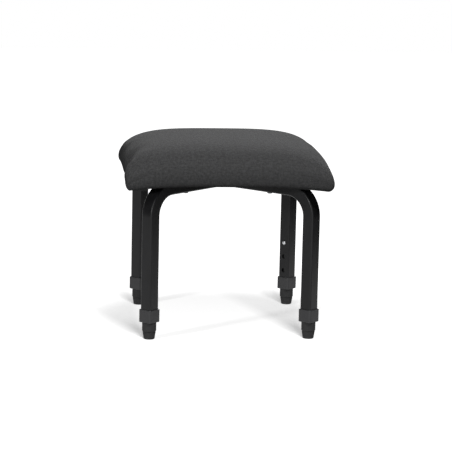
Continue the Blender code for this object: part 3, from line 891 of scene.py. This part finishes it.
class STOOL_OT_buttons(bpy.types.Operator):
    """Makes the domed snap buttons and the bent strips that spring them out"""

    bl_idname = "stool.buttons"
    bl_label = "Snap buttons"

    def execute(self, context):
        sizes = context.scene.stool_sizes
        height = button_height(sizes)
        arm = self.arm_reach(sizes)
        radius = sizes.button_diameter / 2
        tip = sizes.tube_side / 2 + sizes.button_proud
        profile = [(0, arm), (radius, arm), *arc((0, tip - BUTTON_DOME), radius, 0, 90, 9, BUTTON_DOME)]
        button = turn_profile("button", profile, 48)
        place(button, Matrix.Translation((0, 0, height)) @ Matrix.Rotation(math.pi / 2, 4, "Y"))
        shade(button)
        spring = self.bent_strip(arm - SPRING_THICKNESS, height, sizes)
        travel = next(j for j in frame["joints"] if j["name"] == "button_press_front_left")["range_m"][1]
        for name, matrix in LEG_PLACES.items():
            copy = copy_piece(button, f"button_{name}", matrix)
            fit_out(copy, finish("steel"), f"button_{name}", "bright_steel", f"snap_button_{name}")
            strip = copy_piece(spring, f"button_spring_{name}", matrix)
            fit_out(strip, finish("steel"), f"leg_{name}", "bright_steel")
            1 - travel / (2 * arm)
            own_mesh(strip)
        for pattern in (button, spring):
            bpy.data.objects.remove(pattern)
        return {"FINISHED"}

    def arm_reach(self, sizes):
        """How far from the leg's axis the front of the spring lies, flat against the inner leg's bore."""
        bore = sizes.leg_diameter / 2 - sizes.leg_wall
        return math.sqrt(bore**2 - (sizes.spring_width / 2) ** 2) - SPRING_GAP

    def bent_strip(self, arm, height, sizes):
        """The strip: up the back of the leg, over in a bend and down behind the button."""
        pad = sizes.spring_pad / 2
        path = [(-arm, -pad), (-arm, pad), *arc((0, SPRING_RISE), SPRING_BEND, 180, 0, 12), (arm, pad), (arm, -pad)]
        obj = draw_line("spring", [(x, -sizes.spring_width / 2, z) for x, z in path])
        with editing(obj):
            bpy.ops.mesh.select_all(action="SELECT")
            extrude((0, sizes.spring_width, 0))
        tidy_mesh(obj)
        modify(obj, "SOLIDIFY", thickness=SPRING_THICKNESS, offset=0, use_even_offset=True)
        tidy_mesh(obj)
        shade(obj)
        place(obj, Matrix.Translation((0, 0, height)))
        return obj


# Seat

SQUARENESS = 30.0  # exponent of the outline: higher is squarer
CROWN_SHOULDER = 4.17  # exponents of the crown's fall to the edge
CROWN_FALL = 0.415
DROOP_POWER = 3  # exponent of the droop's rise towards the corners
# How far the cover was pulled askew at each corner, from the seat that lies square on the frame
CORNER_PULLS = {
    (-1, -1): (-0.0072, 0.0037),
    (1, -1): (-0.0059, -0.0061),
    (-1, 1): (-0.0008, -0.0009),
}
# How much tighter than elsewhere the lower edge turns under at the front left corner, and how soon that fades
TIGHT_CORNER, TIGHT_POWER = 0.6, 4
# Marks of that pulling, and shoulders that the pad fills out: both ends in the flat cloth, half width, and depth, which
# is under 0 for a ridge
PULL_MARKS = (
    ((-0.203, -0.078), (-0.214, -0.106), 0.030, 0.0066),
    ((-0.208, -0.143), (-0.212, -0.165), 0.014, -0.0028),
    ((-0.190, 0.050), (-0.200, 0.110), 0.018, -0.0026),
    ((0.173, -0.012), (0.173, -0.115), 0.026, -0.0030),
    ((-0.165, -0.135), (-0.208, -0.185), 0.016, -0.0020),
    ((-0.212, -0.228), (-0.150, -0.212), 0.006, 0.0012),
    ((-0.100, -0.196), (-0.076, -0.186), 0.005, 0.0006),
    ((0.150, -0.222), (0.200, -0.230), 0.007, 0.0010),
)
PROFILE_STEPS = 4000
GRID_CELLS = 84
EDGE_STEPS = 6
HEM_STEPS = 7
RING_PITCH = 0.25  # between the rings round the flat cloth
PLEAT_DEPTH = 0.0011
PLEAT_WAVES = 46
PLEAT_START, PLEAT_RISE = 0.72, 0.2  # cornerness where the pleats begin, and over which they reach their depth
PLEAT_PACE = 1.15  # over 1, so that the pleats run out before the hem's inner edge
SWELL = 0.001  # how far under its top the cover starts
SWELL_LIMIT = 0.006  # how far a point may move
PAD_HOLD = 0.2  # how firmly the pad holds the cover over it
SIMULATION_FRAMES = 20
CLOTH_SETTINGS = {
    "quality": 6,
    "mass": 0.3,
    "tension_stiffness": 40,
    "compression_stiffness": 40,
    "shear_stiffness": 16,
    "bending_stiffness": 3,
    "use_pressure": True,
    "uniform_pressure_force": 30,
}
CUSHION_ANGLE = math.radians(60)


def cornerness(grid):
    """0 on the lines through the middle of the sides and 1 at a corner, for places in the unit square."""
    return np.abs(grid[:, 0] * grid[:, 1])


def on_seat(grid, inset, sizes):
    """Places in the unit square laid out on the seat, whose corners are round and whose sides are drawn in."""
    corner = cornerness(grid)
    scale = (1 + corner**SQUARENESS) ** (-1 / SQUARENESS)
    half = np.array([sizes.seat_width, sizes.seat_depth]) / 2
    drawn = sizes.seat_draw_in * (1 - corner**2)
    return grid * scale[:, None] * (half - inset - drawn[:, None])


def hand_pull(grid):
    """How far each place of the cover is pulled askew with its corners."""
    shift = np.zeros_like(grid)
    for corner, pull in CORNER_PULLS.items():
        share = (1 + grid * corner).prod(axis=1) / 4
        shift += share[:, None] * pull
    return shift


def hem_bottom(sizes):
    return bottom("seat_board") - FIT_GAP - sizes.cloth_thickness


def edge_height(grid, sizes):
    """Height of the fullest line of the seat's edge, lower towards the corners."""
    return hem_bottom(sizes) + sizes.edge_round - sizes.corner_droop * cornerness(grid) ** DROOP_POWER


def crown_rise(grid):
    """How far up the crown a place on the flat cloth comes, from 0 at the edge to 1 in the middle."""
    fall = np.clip(1 - np.abs(grid) ** CROWN_SHOULDER, 0, 1)
    return (fall[:, 0] * fall[:, 1]) ** CROWN_FALL


def crown_profile(sizes):
    """Steps from the middle of the seat to a side, closer there, with the length of cloth up to each."""
    reach = 1 - np.linspace(1, 0, PROFILE_STEPS + 1) ** 3
    grid = np.stack([reach, 0 * reach], axis=1)
    height = (top("seat_cover") - hem_bottom(sizes) - sizes.edge_round) * crown_rise(grid)
    steps = np.hypot(np.diff(reach * sizes.seat_width / 2), np.diff(height))
    return reach, np.concatenate([[0], np.cumsum(steps)])


def under_rings(sizes):
    """The rings under the edge: kind, inset, and a share of the drop, a share of the hem or a height."""
    rings = []
    for step in range(1, EDGE_STEPS + 1):
        angle = math.pi / 2 * step / EDGE_STEPS
        rings.append(("edge", sizes.edge_round * (1 - math.cos(angle)), math.sin(angle)))
    for step in range(1, HEM_STEPS + 1):
        rings.append(("hem", sizes.edge_round + sizes.hem_width * step / HEM_STEPS, step / HEM_STEPS))
    recess = sizes.edge_padding - FIT_GAP
    inner = hem_bottom(sizes) + sizes.cloth_thickness
    rings.append(("inside", sizes.edge_round + sizes.hem_width, inner))
    rings.append(("inside", recess, inner))
    rings.append(("inside", recess, top("seat_board") + FIT_GAP))
    return rings


def pleats(grid, share):
    """Depth of the folds in the hem under the corners, 0 outside them."""
    corner = np.clip((cornerness(grid) - PLEAT_START) / PLEAT_RISE, 0, 1)
    angle = np.arctan2(grid[:, 1], grid[:, 0]) % (math.pi / 2)
    along_hem = math.sin(math.pi * min(1, share * PLEAT_PACE))
    return PLEAT_DEPTH * corner * along_hem * np.abs(np.sin(angle * PLEAT_WAVES))


def drape(flat, sizes, slack):
    """Where each point of the flat cloth lies on the seat, its place in the cloth for the weave, and its ring."""
    reach_steps, cloth_steps = crown_profile(sizes)
    ring_step = np.abs(flat).max(axis=1)
    ring = np.rint((np.maximum(ring_step, 1) - 1) / RING_PITCH).astype(int)
    laid = flat / np.maximum(ring_step, 1)[:, None]
    even = np.interp(np.abs(laid), cloth_steps / cloth_steps[-1], reach_steps) * np.sign(laid)
    edge = edge_height(even, sizes)
    points = np.zeros((len(flat), 3))
    points[:, :2] = on_seat(even, 0, sizes)
    points[:, 2] = edge + (top("seat_cover") - slack - edge) * crown_rise(even)
    weave = np.interp(np.abs(even), reach_steps, cloth_steps) * np.sign(even)
    gone = 0.0
    last_inset, last_drop = 0.0, 0.0
    for number, (kind, inset, value) in enumerate(under_rings(sizes), start=1):
        on_ring = ring == number
        here = even[on_ring]
        level = edge[on_ring]
        spared = TIGHT_CORNER * np.clip(-here, 0, 1).prod(axis=1, keepdims=True) ** TIGHT_POWER
        if kind == "edge":
            drop = sizes.edge_round * value
            height = level - drop
            spared = spared * inset
        elif kind == "hem":
            corner_level = level - sizes.edge_round
            height = corner_level + (hem_bottom(sizes) - corner_level) * value - pleats(here, value)
            drop = sizes.edge_round
            spared = spared * sizes.edge_round * (1 - value)
        else:
            height = np.full(len(here), value)
            spared = 0
        points[on_ring, :2] = on_seat(here, inset - spared, sizes)
        points[on_ring, 2] = height
        gone += math.hypot(inset - last_inset, drop - last_drop)
        last_inset, last_drop = inset, drop
        outward = np.isclose(np.abs(here), 1)
        weave[on_ring] += np.where(outward, np.sign(here) * gone, 0)
    points[:, :2] += hand_pull(even) * np.clip(1 - (ring - EDGE_STEPS) / HEM_STEPS, 0, 1)[:, None]
    return points, weave, ring


def cut_cloth(sizes):
    """The flat cloth: a fine grid for the crown, with rings round it for the edge, the hem and the inside."""
    obj = add_grid("cushion", GRID_CELLS)
    with editing(obj):
        pick(obj, "EDGE", lambda edge: edge.is_boundary)
        for number in range(1, len(under_rings(sizes)) + 1):
            growth = (1 + number * RING_PITCH) / (1 + (number - 1) * RING_PITCH)
            bpy.ops.mesh.extrude_region_move()
            bpy.ops.transform.resize(value=(growth, growth, 1), center_override=(0, 0, 0))
    return obj


def read_points(obj):
    points = np.zeros(len(obj.data.vertices) * 3)
    obj.data.vertices.foreach_get("co", points)
    return points.reshape(-1, 3)


def write_points(obj, points):
    obj.data.vertices.foreach_set("co", np.ascontiguousarray(points, np.float32).ravel())
    obj.data.update()


def swell(obj, held):
    """Blows the cover up against its hem with a short cloth simulation, and limits how far it moves."""
    start = read_points(obj)
    group = obj.vertex_groups.new(name="held")
    for share in np.unique(held):
        group.add([int(i) for i in np.flatnonzero(held == share)], float(share), "REPLACE")
    activate(obj)
    cloth = obj.modifiers.new("Swell", "CLOTH")
    for name, value in CLOTH_SETTINGS.items():
        setattr(cloth.settings, name, value)
    cloth.settings.vertex_group_mass = group.name
    cloth.settings.effector_weights.gravity = 0
    cloth.collision_settings.use_collision = False
    scene = bpy.context.scene
    for number in range(1, SIMULATION_FRAMES + 1):
        scene.frame_set(number)
    bpy.ops.object.modifier_apply(modifier=cloth.name)
    scene.frame_set(1)
    obj.vertex_groups.clear()
    moved = read_points(obj) - start
    far = np.linalg.norm(moved, axis=1)
    write_points(obj, start + moved * np.minimum(1, SWELL_LIMIT / np.maximum(far, 1e-9))[:, None])


def loop_points(obj):
    """The point at each corner of each face."""
    points = np.zeros(len(obj.data.loops), int)
    obj.data.loops.foreach_get("vertex_index", points)
    return points


def mark_weave(obj, weave):
    """Keeps each point's place in the flat cloth as the map that the weave follows."""
    layer = obj.data.uv_layers.new(name="cloth")
    layer.data.foreach_set("uv", np.ascontiguousarray(weave[loop_points(obj)], np.float32).ravel())


def press_marks(obj):
    """Presses the pull marks into the cover along its normals."""
    corners = loop_points(obj)
    places = np.zeros(len(corners) * 2)
    obj.data.uv_layers["cloth"].data.foreach_get("uv", places)
    cloth = np.zeros((len(obj.data.vertices), 2))
    cloth[corners] = places.reshape(-1, 2)
    normals = np.zeros(len(cloth) * 3)
    obj.data.vertex_normals.foreach_get("vector", normals)
    depth = np.zeros(len(cloth))
    for start, end, width, deep in PULL_MARKS:
        way = np.subtract(end, start)
        share = np.clip((cloth - start) @ way / (way @ way), 0, 1)
        off = np.linalg.norm(cloth - start - share[:, None] * way, axis=1)
        depth += deep * np.exp(-((off / width) ** 2))
    write_points(obj, read_points(obj) - depth[:, None] * normals.reshape(-1, 3))


class STOOL_OT_cushion(bpy.types.Operator):
    """Draws the woven cover over the crowned pad and turns its hem under the board"""

    bl_idname = "stool.cushion"
    bl_label = "Cushion"

    def execute(self, context):
        sizes = context.scene.stool_sizes
        obj = cut_cloth(sizes)
        points, weave, ring = drape(read_points(obj)[:, :2], sizes, SWELL)
        write_points(obj, points)
        mark_weave(obj, weave)
        under = np.clip((ring - 1) / (EDGE_STEPS - 1), 0, 1)
        swell(obj, (PAD_HOLD + (1 - PAD_HOLD) * under).round(2))
        modify(obj, "SUBSURF", levels=1, render_levels=1)
        with editing(obj):
            pick(obj, "EDGE", lambda edge: edge.is_boundary)
            bpy.ops.mesh.extrude_region_move()
            bpy.ops.mesh.merge(type="CENTER")
        tidy_mesh(obj)
        press_marks(obj)
        smooth(obj, CUSHION_ANGLE)
        fit_out(obj, finish("woven"), "frame", "cover_fabric", "seat_cover", "seat_foam")
        return {"FINISHED"}


UNDER_CLOTH_CELLS = 60
SAG_DEPTH = 0.0022
SAG_START, SAG_RISE = 0.016, 0.05  # off a tube's axis: where the sag begins, and over what it reaches its depth
SAG_BORDER = 0.3  # share of the cloth next to the hem that hangs less
SAG_REACH = 0.01  # how far the cutters pass the sagging cloth


class STOOL_OT_under_cloth(bpy.types.Operator):
    """Stretches the bonded cloth under the seat board"""

    bl_idname = "stool.under_cloth"
    bl_label = "Under cloth"

    def execute(self, context):
        sizes = context.scene.stool_sizes
        low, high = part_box("dust_cover")
        size = high - low
        inset = sizes.edge_round + sizes.hem_width + FIT_GAP
        obj = add_grid("under_cloth", UNDER_CLOTH_CELLS)
        points = read_points(obj)
        reach = np.abs(points).max(axis=1)
        points[:, :2] = on_seat(points[:, :2], inset, sizes)
        points[:, 2] = high.z - self.sag(points, reach)
        write_points(obj, points)
        modify(obj, "SOLIDIFY", thickness=size.z, offset=-1)
        tidy_mesh(obj)
        cut(obj, self.screw_cutters(low.z - SAG_REACH, high.z + SAG_REACH, sizes))
        smooth(obj)
        fit_out(obj, finish("bonded"), "frame", "dust_cloth", "dust_cover")
        return {"FINISHED"}

    def sag(self, points, reach):
        """How far the cloth hangs between the crossed tubes and the hem."""
        x, y = points[:, 0], points[:, 1]
        off_tubes = np.minimum(np.abs(x - y), np.abs(x + y)) / math.sqrt(2)
        free = np.clip((off_tubes - SAG_START) / SAG_RISE, 0, 1) * np.clip((1 - reach) / SAG_BORDER, 0, 1)
        return SAG_DEPTH * free * free * (3 - 2 * free)

    def screw_cutters(self, low, high, sizes):
        """Rods that cut the holes for the seat screws."""
        radius = sizes.screw_diameter / 2 + FIT_GAP
        offset = sizes.screw_reach / math.sqrt(2)
        places = [(x, y) for x in (-offset, offset) for y in (-offset, offset)]
        return [add_cutter(radius, (x, y, low), (x, y, high)) for x, y in places]


STAPLE_BREADTH = 0.0012
STAPLE_PROUD, STAPLE_SUNK = 0.0003, 0.0006
STAPLE_SHOULDER = 0.0006
STAPLE_BURR = 0.00015
STAPLE_SPAN = 0.86  # share of a side that carries staples
STAPLE_SKEW = 0.10  # radians
SKEW_BY_SIDE, SKEW_BY_SHARE = 2.1, 17  # make the skew wander from staple to staple
HEM_STAPLES, CLOTH_STAPLES = 9, 8  # on each side
HEM_STAPLE_SHARE = 0.68  # of the way over the hem
HEM_STAPLE_DROOP = 0.32  # share of the corners' droop at the hem's staples
CLOTH_STAPLE_INSET = 0.006  # from the hem's inner edge


class STOOL_OT_staples(bpy.types.Operator):
    """Drives the staples that hold the hem and the under cloth"""

    bl_idname = "stool.staples"
    bl_label = "Staples"

    def execute(self, context):
        sizes = context.scene.stool_sizes
        half, breadth = sizes.staple_width / 2, STAPLE_BREADTH / 2
        pattern = add_block("staple", (-half, -breadth, -STAPLE_PROUD), (half, breadth, STAPLE_SUNK))
        with editing(pattern):
            pick(pattern, "EDGE", lambda edge: along(edge, 1) and edge.verts[0].co.z < 0)
            bpy.ops.mesh.bevel(offset=STAPLE_SHOULDER, segments=3, affect="EDGES")
        soften(pattern, STAPLE_BURR)
        hem_inset = sizes.edge_round + sizes.hem_width * HEM_STAPLE_SHARE
        cloth_inset = sizes.edge_round + sizes.hem_width + CLOTH_STAPLE_INSET
        rows = (
            ("hem_staples", hem_inset, hem_bottom(sizes), HEM_STAPLE_DROOP, HEM_STAPLES),
            ("under_cloth_staples", cloth_inset, bottom("dust_cover"), 0, CLOTH_STAPLES),
        )
        for name, inset, height, droop, count in rows:
            copies = []
            for side in range(4):
                for share in np.linspace(-STAPLE_SPAN, STAPLE_SPAN, count):
                    spot = self.staple_place(side, share, inset, height, droop, sizes)
                    copies.append(copy_piece(pattern, name, spot))
            obj = join(copies)
            rename(obj, name)
            fit_out(obj, finish("steel"), "frame", "bright_steel")
        bpy.data.objects.remove(pattern)
        return {"FINISHED"}

    def staple_place(self, side, share, inset, height, droop, sizes):
        """A staple's place on one side of the underside, set a little askew as by hand."""
        turn = Matrix.Rotation(side * math.pi / 2, 2)
        grid = np.array([turn @ Vector((share, -1))])
        spot = on_seat(grid, inset, sizes)[0]
        hang = sizes.corner_droop * cornerness(grid)[0] ** DROOP_POWER * droop
        skew = STAPLE_SKEW * math.sin(side * SKEW_BY_SIDE + share * SKEW_BY_SHARE)
        return Matrix.Translation((*spot, height - hang)) @ Matrix.Rotation(side * math.pi / 2 + skew, 4, "Z")


SCREW_FLAT = 0.72  # radius of the flat on the head, by the key's width
SCREW_RIM = 0.0004  # straight side of the head
SCREW_CHAMFER = 0.0008  # at the tip
SCREW_BURR = 0.0001
KEY_DEPTH = 0.002


class STOOL_OT_screws(bpy.types.Operator):
    """Turns the button-headed seat screws and sinks their key sockets"""

    bl_idname = "stool.screws"
    bl_label = "Seat screws"

    def execute(self, context):
        sizes = context.scene.stool_sizes
        low, high = (corner.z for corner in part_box("seat_screw_front_left"))
        head_top = FRAME_TOP - sizes.tube_side - FIT_GAP
        rim = head_top - SCREW_RIM
        head, shank = sizes.screw_head / 2, sizes.screw_diameter / 2
        flat = sizes.screw_key * SCREW_FLAT
        profile = [(0, low), *arc((flat, rim), head - flat, -90, 0, 8, rim - low), (head, head_top), (shank, head_top)]
        profile += [(shank, high - SCREW_CHAMFER), (shank - SCREW_CHAMFER, high), (0, high)]
        pattern = turn_profile("screw", profile, 48)
        key = sizes.screw_key / math.sqrt(3)
        cut(pattern, [add_cutter(key, (0, 0, low - CUT_OVERRUN), (0, 0, low + KEY_DEPTH), 6)])
        soften(pattern, SCREW_BURR)
        spots = {name: middle(f"seat_screw_{name}") for name in LEG_NAMES}
        places = {name: Matrix.Translation((spot.x, spot.y, 0)) for name, spot in spots.items()}
        copy_out(pattern, "screw", places, finish("screw"), "frame", "screw_steel", "seat_screw")
        return {"FINISHED"}


class STOOL_OT_inner_pieces(bpy.types.Operator):
    """Finishes the solids that stay as they are: board, T-nuts, guide plugs and washers"""

    bl_idname = "stool.inner_pieces"
    bl_label = "Inner pieces"

    def execute(self, context):
        kept = {"seat_board": "plywood", "t_nut": "steel", "guide_plug": "plastic", "foot_washer": "steel"}
        for node, obj in frame["nodes"].items():
            for start, name in kept.items():
                if node.startswith(start):
                    dress(obj, finish(name))
        return {"FINISHED"}


# Stage

CAMERA_AZIMUTH = math.radians(-6.399)
CAMERA_ELEVATION = math.radians(10.165)
CAMERA_ROLL = math.radians(1.252)
CAMERA_DISTANCE = 3.911142
CAMERA_TARGET = (0.006988, 0.191843)
CAMERA_LENS = 156.95
WHITE = (1, 1, 1, 1)
WORLD_LIGHT = 0.08
FLOOR_SIDE = 12
FLOOR_BOUNCE = 0.14  # share of its colour that the floor shows to the stool
FLOOR_GLOW = 0.38  # the floor's own light under the stool, which leaves room for the shadows
FLOOR_FADE = (0.21, 0.4)  # distances from the middle over which that light rises to white
# Black cards: two corners each
CARDS = {
    "black_card_right": ((0.85, -1.2, 0.001), (0.86, 2.0, 1.5)),
    "black_card_left": ((-1.26, -1.6, 0.13), (-1.25, 1.2, 1.6)),
}
# Softboxes that light all but the floor, and softboxes that light the floor alone: place, side and power
STOOL_LAMPS = {
    "back": ((0.9, 2.5, 1.66), 1.2, 125),
    "overhead": ((0.5, 0, 2.6), 1.5, 21),
    "front_right": ((0.75, -1.95, 2.5), 0.5, 32),
    "front_left": ((-1.7, -2.2, 0.95), 0.2, 25),
}
FLOOR_LAMPS = {
    "floor_soft": ((0.45, -3.2, 1.55), 1.2, 166),
    "floor_streak": ((-2.2, -1.7, 0.95), 0.25, 32),
}
LAMP_TARGET = (0, 0, 0.2)


def rays_that_see(start):
    """1 for the camera's rays, and 1 for the mirror and see-through rays, which show the background too."""
    kinds = ("Camera", "Glossy", "Transmission")
    camera, glossy, through = (start.node("ShaderNodeLightPath", output=f"Is {kind} Ray") for kind in kinds)
    return camera, glossy.larger(through)


def floor_finish(colours):
    """White to the eye with the object's shadow kept, pale to the light, and clear from below."""
    material = bpy.data.materials.new("pale_floor")
    material.use_nodes = True
    tree = material.node_tree
    tree.nodes.remove(tree.nodes["Principled BSDF"])
    start = Field(tree)
    plain = start.node("ShaderNodeBsdfDiffuse", values={"Color": tone(colours.floor, FLOOR_BOUNCE)})
    shadowed = start.node("ShaderNodeBsdfDiffuse", values={"Color": tone(colours.floor)})
    away = start.node("ShaderNodeVectorMath", {"operation": "LENGTH"}, {0: object_place(start)}, output="Value")
    white = away.above(*FLOOR_FADE).between((FLOOR_GLOW, FLOOR_GLOW, FLOOR_GLOW, 1), WHITE)
    glow = start.node("ShaderNodeEmission", values={"Color": white})
    seen = start.node("ShaderNodeAddShader", values={0: shadowed, 1: glow})
    mirrored = start.node("ShaderNodeEmission", values={"Color": WHITE})
    camera, mirror = rays_that_see(start)
    from_above = camera.mixed(mirror.mixed(plain, mirrored), seen)
    below = start.node("ShaderNodeNewGeometry", output="Backfacing")
    surface = below.mixed(from_above, start.node("ShaderNodeBsdfTransparent"))
    tree.links.new(surface.socket, tree.nodes["Material Output"].inputs["Surface"])
    return material


class STOOL_OT_stage(bpy.types.Operator):
    """Sets the pale floor, the black cards, the soft lamps and the camera"""

    bl_idname = "stool.stage"
    bl_label = "Stage"

    def execute(self, context):
        scene = context.scene
        scene.view_settings.view_transform = "Standard"
        floor = add_primitive(bpy.ops.mesh.primitive_plane_add, "floor", size=FLOOR_SIDE)
        dress(floor, floor_finish(scene.stool_colours))
        self.set_world(scene)
        for name, corners in CARDS.items():
            self.add_card(name, *corners)
        for name, settings in STOOL_LAMPS.items():
            self.link_floor(self.add_lamp(name, *settings), floor, "EXCLUDE")
        for name, settings in FLOOR_LAMPS.items():
            self.link_floor(self.add_lamp(name, *settings), floor, "INCLUDE")
        self.add_camera(scene)
        return {"FINISHED"}

    def set_world(self, scene):
        """White to the eye and in mirrors, and a faint light on the stool."""
        world = bpy.data.worlds.new("studio")
        world.use_nodes = True
        tree = world.node_tree
        tree.nodes.remove(tree.nodes["Background"])
        start = Field(tree)
        soft = start.node("ShaderNodeBackground", values={"Color": WHITE, "Strength": WORLD_LIGHT})
        white = start.node("ShaderNodeBackground", values={"Color": WHITE, "Strength": 1.0})
        camera, mirror = rays_that_see(start)
        mixed = camera.larger(mirror).mixed(soft, white)
        tree.links.new(mixed.socket, tree.nodes["World Output"].inputs["Surface"])
        scene.world = world

    def add_card(self, name, low, high):
        """A black card beside the stool, out of the camera's sight, that the tubes mirror."""
        card = add_block(name, low, high)
        card.visible_camera = False
        card.visible_diffuse = False
        card.visible_shadow = False
        material, _, _ = new_finish(name, Base_Color=(0.01, 0.01, 0.01, 1), Roughness=0.9)
        dress(card, material)

    def add_lamp(self, name, spot, size, power):
        """A square softbox that faces the seat."""
        spot = Vector(spot)
        turn = (Vector(LAMP_TARGET) - spot).to_track_quat("-Z", "Y").to_euler()
        bpy.ops.object.light_add(type="AREA", location=spot, rotation=turn)
        lamp = bpy.context.object
        lamp.name = name
        lamp.data.shape = "SQUARE"
        lamp.data.size = size
        lamp.data.energy = power
        return lamp

    def link_floor(self, lamp, floor, state):
        """Lets a lamp light the floor alone, or all but the floor, so that each shadow is set apart."""
        activate(lamp)
        bpy.ops.object.light_linking_receiver_collection_new()
        floor.select_set(True)
        bpy.ops.object.light_linking_receivers_link(link_state=state)

    def add_camera(self, scene):
        back = Vector((
            math.sin(CAMERA_AZIMUTH) * math.cos(CAMERA_ELEVATION),
            -math.cos(CAMERA_AZIMUTH) * math.cos(CAMERA_ELEVATION),
            math.sin(CAMERA_ELEVATION),
        ))
        level = Vector((math.cos(CAMERA_AZIMUTH), math.sin(CAMERA_AZIMUTH), 0))
        turn = Matrix.Rotation(CAMERA_ROLL, 3, back)
        right = turn @ level
        upright = turn @ back.cross(level)
        target = level * CAMERA_TARGET[0] + Vector((0, 0, CAMERA_TARGET[1]))
        bpy.ops.object.camera_add(location=target + back * CAMERA_DISTANCE)
        camera = bpy.context.object
        camera.rotation_euler = Matrix((right, upright, back)).transposed().to_euler()
        camera.data.lens = CAMERA_LENS
        scene.camera = camera


STEPS = (
    STOOL_OT_stage,
    STOOL_OT_frame,
    STOOL_OT_welds,
    STOOL_OT_collars,
    STOOL_OT_feet,
    STOOL_OT_inner_legs,
    STOOL_OT_buttons,
    STOOL_OT_screws,
    STOOL_OT_inner_pieces,
    STOOL_OT_cushion,
    STOOL_OT_under_cloth,
    STOOL_OT_staples,
)


class STOOL_PT_panel(bpy.types.Panel):
    """Lists the stool's pieces, sizes and colours"""

    bl_idname = "STOOL_PT_panel"
    bl_label = "Musician stool"
    bl_space_type = "VIEW_3D"
    bl_region_type = "UI"
    bl_category = "Stool"

    def draw(self, context):
        for step in STEPS:
            self.layout.operator(step.bl_idname, text=step.bl_label)
        for group in (context.scene.stool_sizes, context.scene.stool_colours):
            column = self.layout.column(align=True)
            for name in group.bl_rna.properties.keys():
                if name not in ("rna_type", "name"):
                    column.prop(group, name)


CLASSES = (StoolSizes, StoolColours, *STEPS, STOOL_PT_panel)


def register():
    for cls in CLASSES:
        bpy.utils.register_class(cls)
    bpy.types.Scene.stool_sizes = PointerProperty(type=StoolSizes)
    bpy.types.Scene.stool_colours = PointerProperty(type=StoolColours)


def unregister():
    del bpy.types.Scene.stool_colours
    del bpy.types.Scene.stool_sizes
    for cls in reversed(CLASSES):
        bpy.utils.unregister_class(cls)


def main():
    register()
    for step in STEPS:
        group, name = step.bl_idname.split(".")
        getattr(getattr(bpy.ops, group), name)()


if __name__ == "__main__":
    main()
